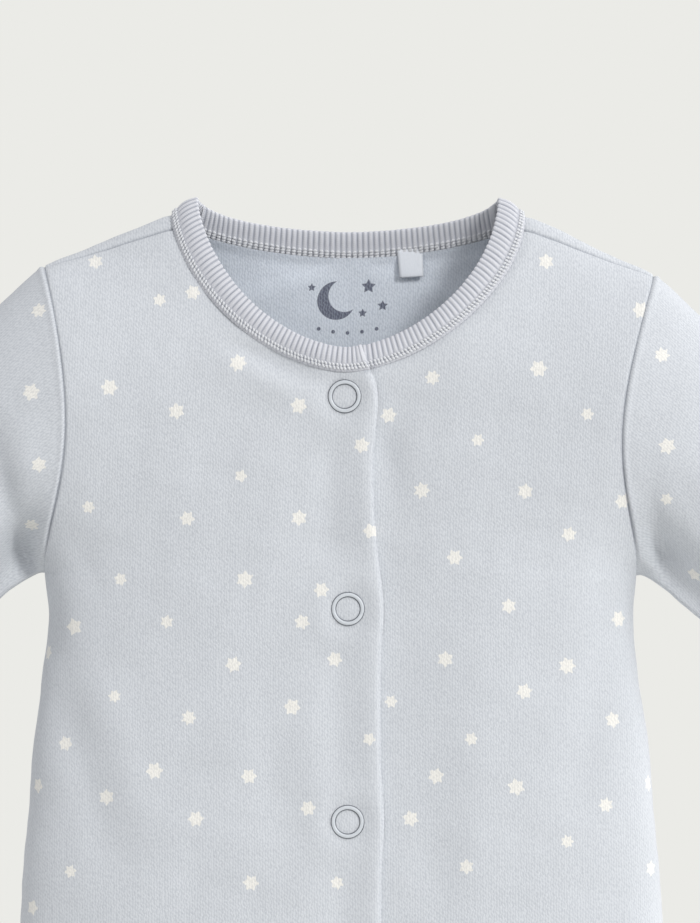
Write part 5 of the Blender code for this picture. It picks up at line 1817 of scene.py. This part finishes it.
def ring_mesh(name, across, down):
    angles = np.arange(RING_SEGMENTS) * 2 * math.pi / RING_SEGMENTS
    xs = across + RING_MIDDLE * np.cos(angles)
    downs = down - RING_MIDDLE * np.sin(angles)
    base = np.array([front_depth(x, low) for x, low in zip(xs, downs)])
    lean_across = np.polyfit(np.cos(angles), base, 1)[0]
    lean_up = np.polyfit(np.sin(angles), base, 1)[0]
    points, faces, walls = [], [], []
    for angle in angles:
        for spot in RING:
            x = across + spot.radius * math.cos(angle)
            low = down - spot.radius * math.sin(angle)
            lean = lean_across * math.cos(angle) + lean_up * math.sin(angle)
            depth = base.mean() + lean * (spot.radius / RING_MIDDLE)
            points.append((x, depth - spot.lift, -low))
    width = len(RING)
    for segment in range(RING_SEGMENTS):
        this, after = segment * width, (segment + 1) % RING_SEGMENTS * width
        for step in range(width):
            left, right = step, (step + 1) % width
            faces.append([this + right, after + right, after + left, this + left])
            walls.append(RING[left].wall and RING[right].wall)
    mesh = new_mesh(name, points, faces)
    mesh.polygons.foreach_set("material_index", np.array(walls, np.int32))
    mesh.set_sharp_from_angle(angle=RING_SHARP)
    return mesh


print("a ring's profile has", len(RING), "points, turned in", RING_SEGMENTS, "steps")

# %% [markdown]
# The ring's top is enamelled in the colour of the cloth, matt and a little
# cloudy, because the enamel is thin.  Its walls are bare zinc, painted darker
# also as the shade of the narrow crevice where the ring meets the cloth.

# %% Snaps of the placket
def ring_materials():
    """Matt enamel for the top, and bare zinc for the walls, painted darker also as the crevice's shade."""
    enamel, tree, shader = new_material("snap_enamel", 0.38)
    shader.inputs["Specular IOR Level"].default_value = 0.5
    cloud = object_noise(tree, 900.0, 3.0)
    tint = blend_colours(tree, cloud, (0.55, 0.58, 0.61, 1), (0.61, 0.64, 0.67, 1))
    tree.links.new(remap(tree, cloud, 0.3, 0.7, 0.32, 0.46, "LINEAR"), shader.inputs["Roughness"])
    cover(tree, shader, tint, cloud, 0.00003, 0.5)
    # The walls are painted dark: bare metal, and painted shade of the crevice around the ring.
    zinc_and_shade, tree, shader = new_material("snap_zinc_and_shade", 0.5)
    shader.inputs["Metallic"].default_value = 0.7
    cloud = object_noise(tree, 1400.0, 2.0)
    tint = blend_colours(tree, cloud, (0.12, 0.13, 0.15, 1), (0.2, 0.21, 0.23, 1))
    tree.links.new(tint, shader.inputs["Base Color"])
    return enamel, zinc_and_shade


ENAMEL, ZINC_AND_CREVICE_SHADE = ring_materials()
for number, snap in enumerate(SNAPS):
    across = snap_across(number)
    name = f"snap_ring_{number + 1}"
    ring = new_piece(name, ring_mesh(name, across, snap), ENAMEL, ZINC_AND_CREVICE_SHADE)
    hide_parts(name)
print("rings", SNAP_OUTER * 2, "mm wide, at", [round(snap) for snap in SNAPS])

# %% [markdown]
# ## Size tab
#
# A short satin ribbon is folded in half and caught in the back neck seam.  It
# is left blank.  The fold bulges, and the two layers part slightly.

# %% Size tab
TAB_CORNERS = ((17.2, 16.2), (25.8, 15.6), (26.2, 24.9), (18, 25.4))
TAB_DEPTH, TAB_FOLD, TAB_PARTS = 15.3, 0.8, 0.3  # the two layers lie apart, and more at the fold
TAB_LEAN, TAB_CURL, TAB_SKEW = 0.9, 0.35, 0.25  # it leans to the front and isn't flat
TAB_BULGE, TAB_BENDS = 0.055, 6
TAB_STEPS, TAB_COLUMNS = 8, 8
RIBBON_THICK = 0.22


def tab_mesh():
    (x0, d0), (x1, d1), (x2, d2), (x3, d3) = TAB_CORNERS
    points, faces = [], []
    profile = [(step / TAB_STEPS, 0.0) for step in range(TAB_STEPS + 1)]
    for step in range(1, TAB_BENDS):
        angle = math.pi * step / TAB_BENDS
        profile.append((1 + TAB_BULGE * math.sin(angle), (1 - math.cos(angle)) / 2))
    profile += [(1 - step / TAB_STEPS, 1.0) for step in range(TAB_STEPS + 1)]
    for share, layer in profile:
        for column in range(TAB_COLUMNS + 1):
            side = column / TAB_COLUMNS
            x = mix(mix(x0, x1, side), mix(x3, x2, side), share)
            down = mix(mix(d0, d1, side), mix(d3, d2, side), share)
            curl = TAB_CURL * math.sin(math.pi * side) * share + TAB_SKEW * share * side
            y = TAB_DEPTH - TAB_LEAN * share - curl + layer * (TAB_FOLD + TAB_PARTS * share)
            points.append((x, y, -down))
    width = TAB_COLUMNS + 1
    for row in range(len(profile) - 1):
        for column in range(TAB_COLUMNS):
            corner = row * width + column
            faces.append([corner, corner + 1, corner + width + 1, corner + width])
    return new_mesh("size_tab", points, faces)


SATIN, tree, shader = new_material("satin", 0.42, 0.2)
place_on = put(tree, "ShaderNodeTexCoord").outputs["Object"]
threads = put(tree, "ShaderNodeMapping", {"Vector": place_on, "Scale": (1.0, 1.0, 0.12)}).outputs[0]
weave = put(tree, "ShaderNodeTexNoise", {"Vector": threads, "Scale": 3800.0, "Detail": 1.0}).outputs["Fac"]
tint = blend_colours(tree, weave, (0.68, 0.71, 0.755, 1), (0.77, 0.795, 0.83, 1))
cover(tree, shader, tint, weave, 0.00004, 0.6)
tab = new_piece("size_tab", tab_mesh(), SATIN)
solid = tab.modifiers.new("ribbon", "SOLIDIFY")
solid.thickness = RIBBON_THICK * MM
solid.offset = 0
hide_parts("size_tab")
print("tab", [round(size * 1000, 1) for size in tab.dimensions])

# %% [markdown]
# ## Camera, floor and light
#
# A long lens from three metres keeps the garment's lines nearly parallel.  The
# camera stands where the star chart's eye is and looks level at the chest.  The
# standard view keeps the pale colours as they were mixed.

# %% Camera
LENS, SENSOR = 344, 36
camera = bpy.data.objects.new("camera", bpy.data.cameras.new("camera"))
COLLECTION.objects.link(camera)
camera.location = EYE * MM
camera.rotation_euler = (math.radians(90), 0, 0)
camera.data.sensor_fit = "VERTICAL"
camera.data.sensor_height = SENSOR
camera.data.lens = LENS
scene = bpy.context.scene
scene.camera = camera
scene.view_settings.view_transform = "Standard"
print("camera at", [round(value, 3) for value in camera.location])

# %% [markdown]
# The pale studio does most of the lighting.  To the camera it looks evenly
# pale, but it lights more gently, or the folds would wash out, and it is
# brightest overhead, so that the undersides of the folds are a little darker.

# %% Studio
PALE = (0.831, 0.831, 0.799, 1)
BRIGHT_WAY = (0.20, 0, 0.98)  # the studio is brightest up here
world = bpy.data.worlds.new("studio")
scene.world = world
world.use_nodes = True
tree = world.node_tree
lit = tree.nodes["Background"]
aim = put(tree, "ShaderNodeTexCoord").outputs["Generated"]
height = put(tree, "ShaderNodeVectorMath", {0: aim, 1: BRIGHT_WAY}, operation="DOT_PRODUCT")
height = height.outputs["Value"]
tree.links.new(remap(tree, height, -0.9, 0.5, 0.39, 0.825), lit.inputs["Strength"])
lit.inputs["Color"].default_value = (0.975, 0.98, 1.0, 1)
seen = put(tree, "ShaderNodeBackground", {"Color": PALE, "Strength": 1.0})
rays = put(tree, "ShaderNodeLightPath")
shares = {0: rays.outputs["Is Camera Ray"], 1: lit.outputs[0], 2: seen.outputs[0]}
choose = put(tree, "ShaderNodeMixShader", shares)
tree.links.new(choose.outputs[0], tree.nodes["World Output"].inputs["Surface"])
print("studio has", len(tree.nodes), "nodes")

# %% [markdown]
# Three soft panels stand on the right: the key, high in front, gives the folds
# their direction, and the other two brighten the right side and its rim.

# %% Lamps
CHEST = np.array((0, 0, -0.15))  # every panel faces it
LAMPS = (("key", (2, -2.7, 1.6), 61, 0.8), ("side", (3, -0.5, 1), 18, 0.6),
         ("rim", (1.9, 0.9, 0.2), 12, 0.6))
for name, spot, energy, size in LAMPS:
    light = bpy.data.lights.new(name, "AREA")
    light.energy = energy
    light.size = size
    lamp = bpy.data.objects.new(name, light)
    COLLECTION.objects.link(lamp)
    lamp.location = spot
    away = np.array(spot) - CHEST
    turn = math.atan2(away[0], -away[1])
    tip = math.acos(away[2] / np.linalg.norm(away))
    lamp.rotation_euler = (tip, 0, turn)
    print("lamp:", name, energy, "W")

# %% [markdown]
# The floor is one pale disc under the feet, with a faint grain, or it would look
# like a sheet of light.

# %% Floor
FLOOR_DROP, FLOOR_RADIUS, FLOOR_SIDES = 0.5223, 0.8, 64
floor_mesh = bpy.data.meshes.new("floor")
angles = [2 * math.pi * number / FLOOR_SIDES for number in range(FLOOR_SIDES)]
rim_points = [(FLOOR_RADIUS * math.cos(a), FLOOR_RADIUS * math.sin(a), -FLOOR_DROP) for a in angles]
floor_mesh.from_pydata(rim_points, [], [list(range(FLOOR_SIDES))])
floor_material, tree, shader = new_material("floor", 0.9)
grain = object_noise(tree, 60.0, 3.0)
tint = blend_colours(tree, grain, (0.80, 0.80, 0.775, 1), (0.83, 0.83, 0.80, 1))
tree.links.new(tint, shader.inputs["Base Color"])
floor_mesh.materials.append(floor_material)
floor = bpy.data.objects.new("floor", floor_mesh)
COLLECTION.objects.link(floor)
print("floor", 2 * FLOOR_RADIUS, "m wide")
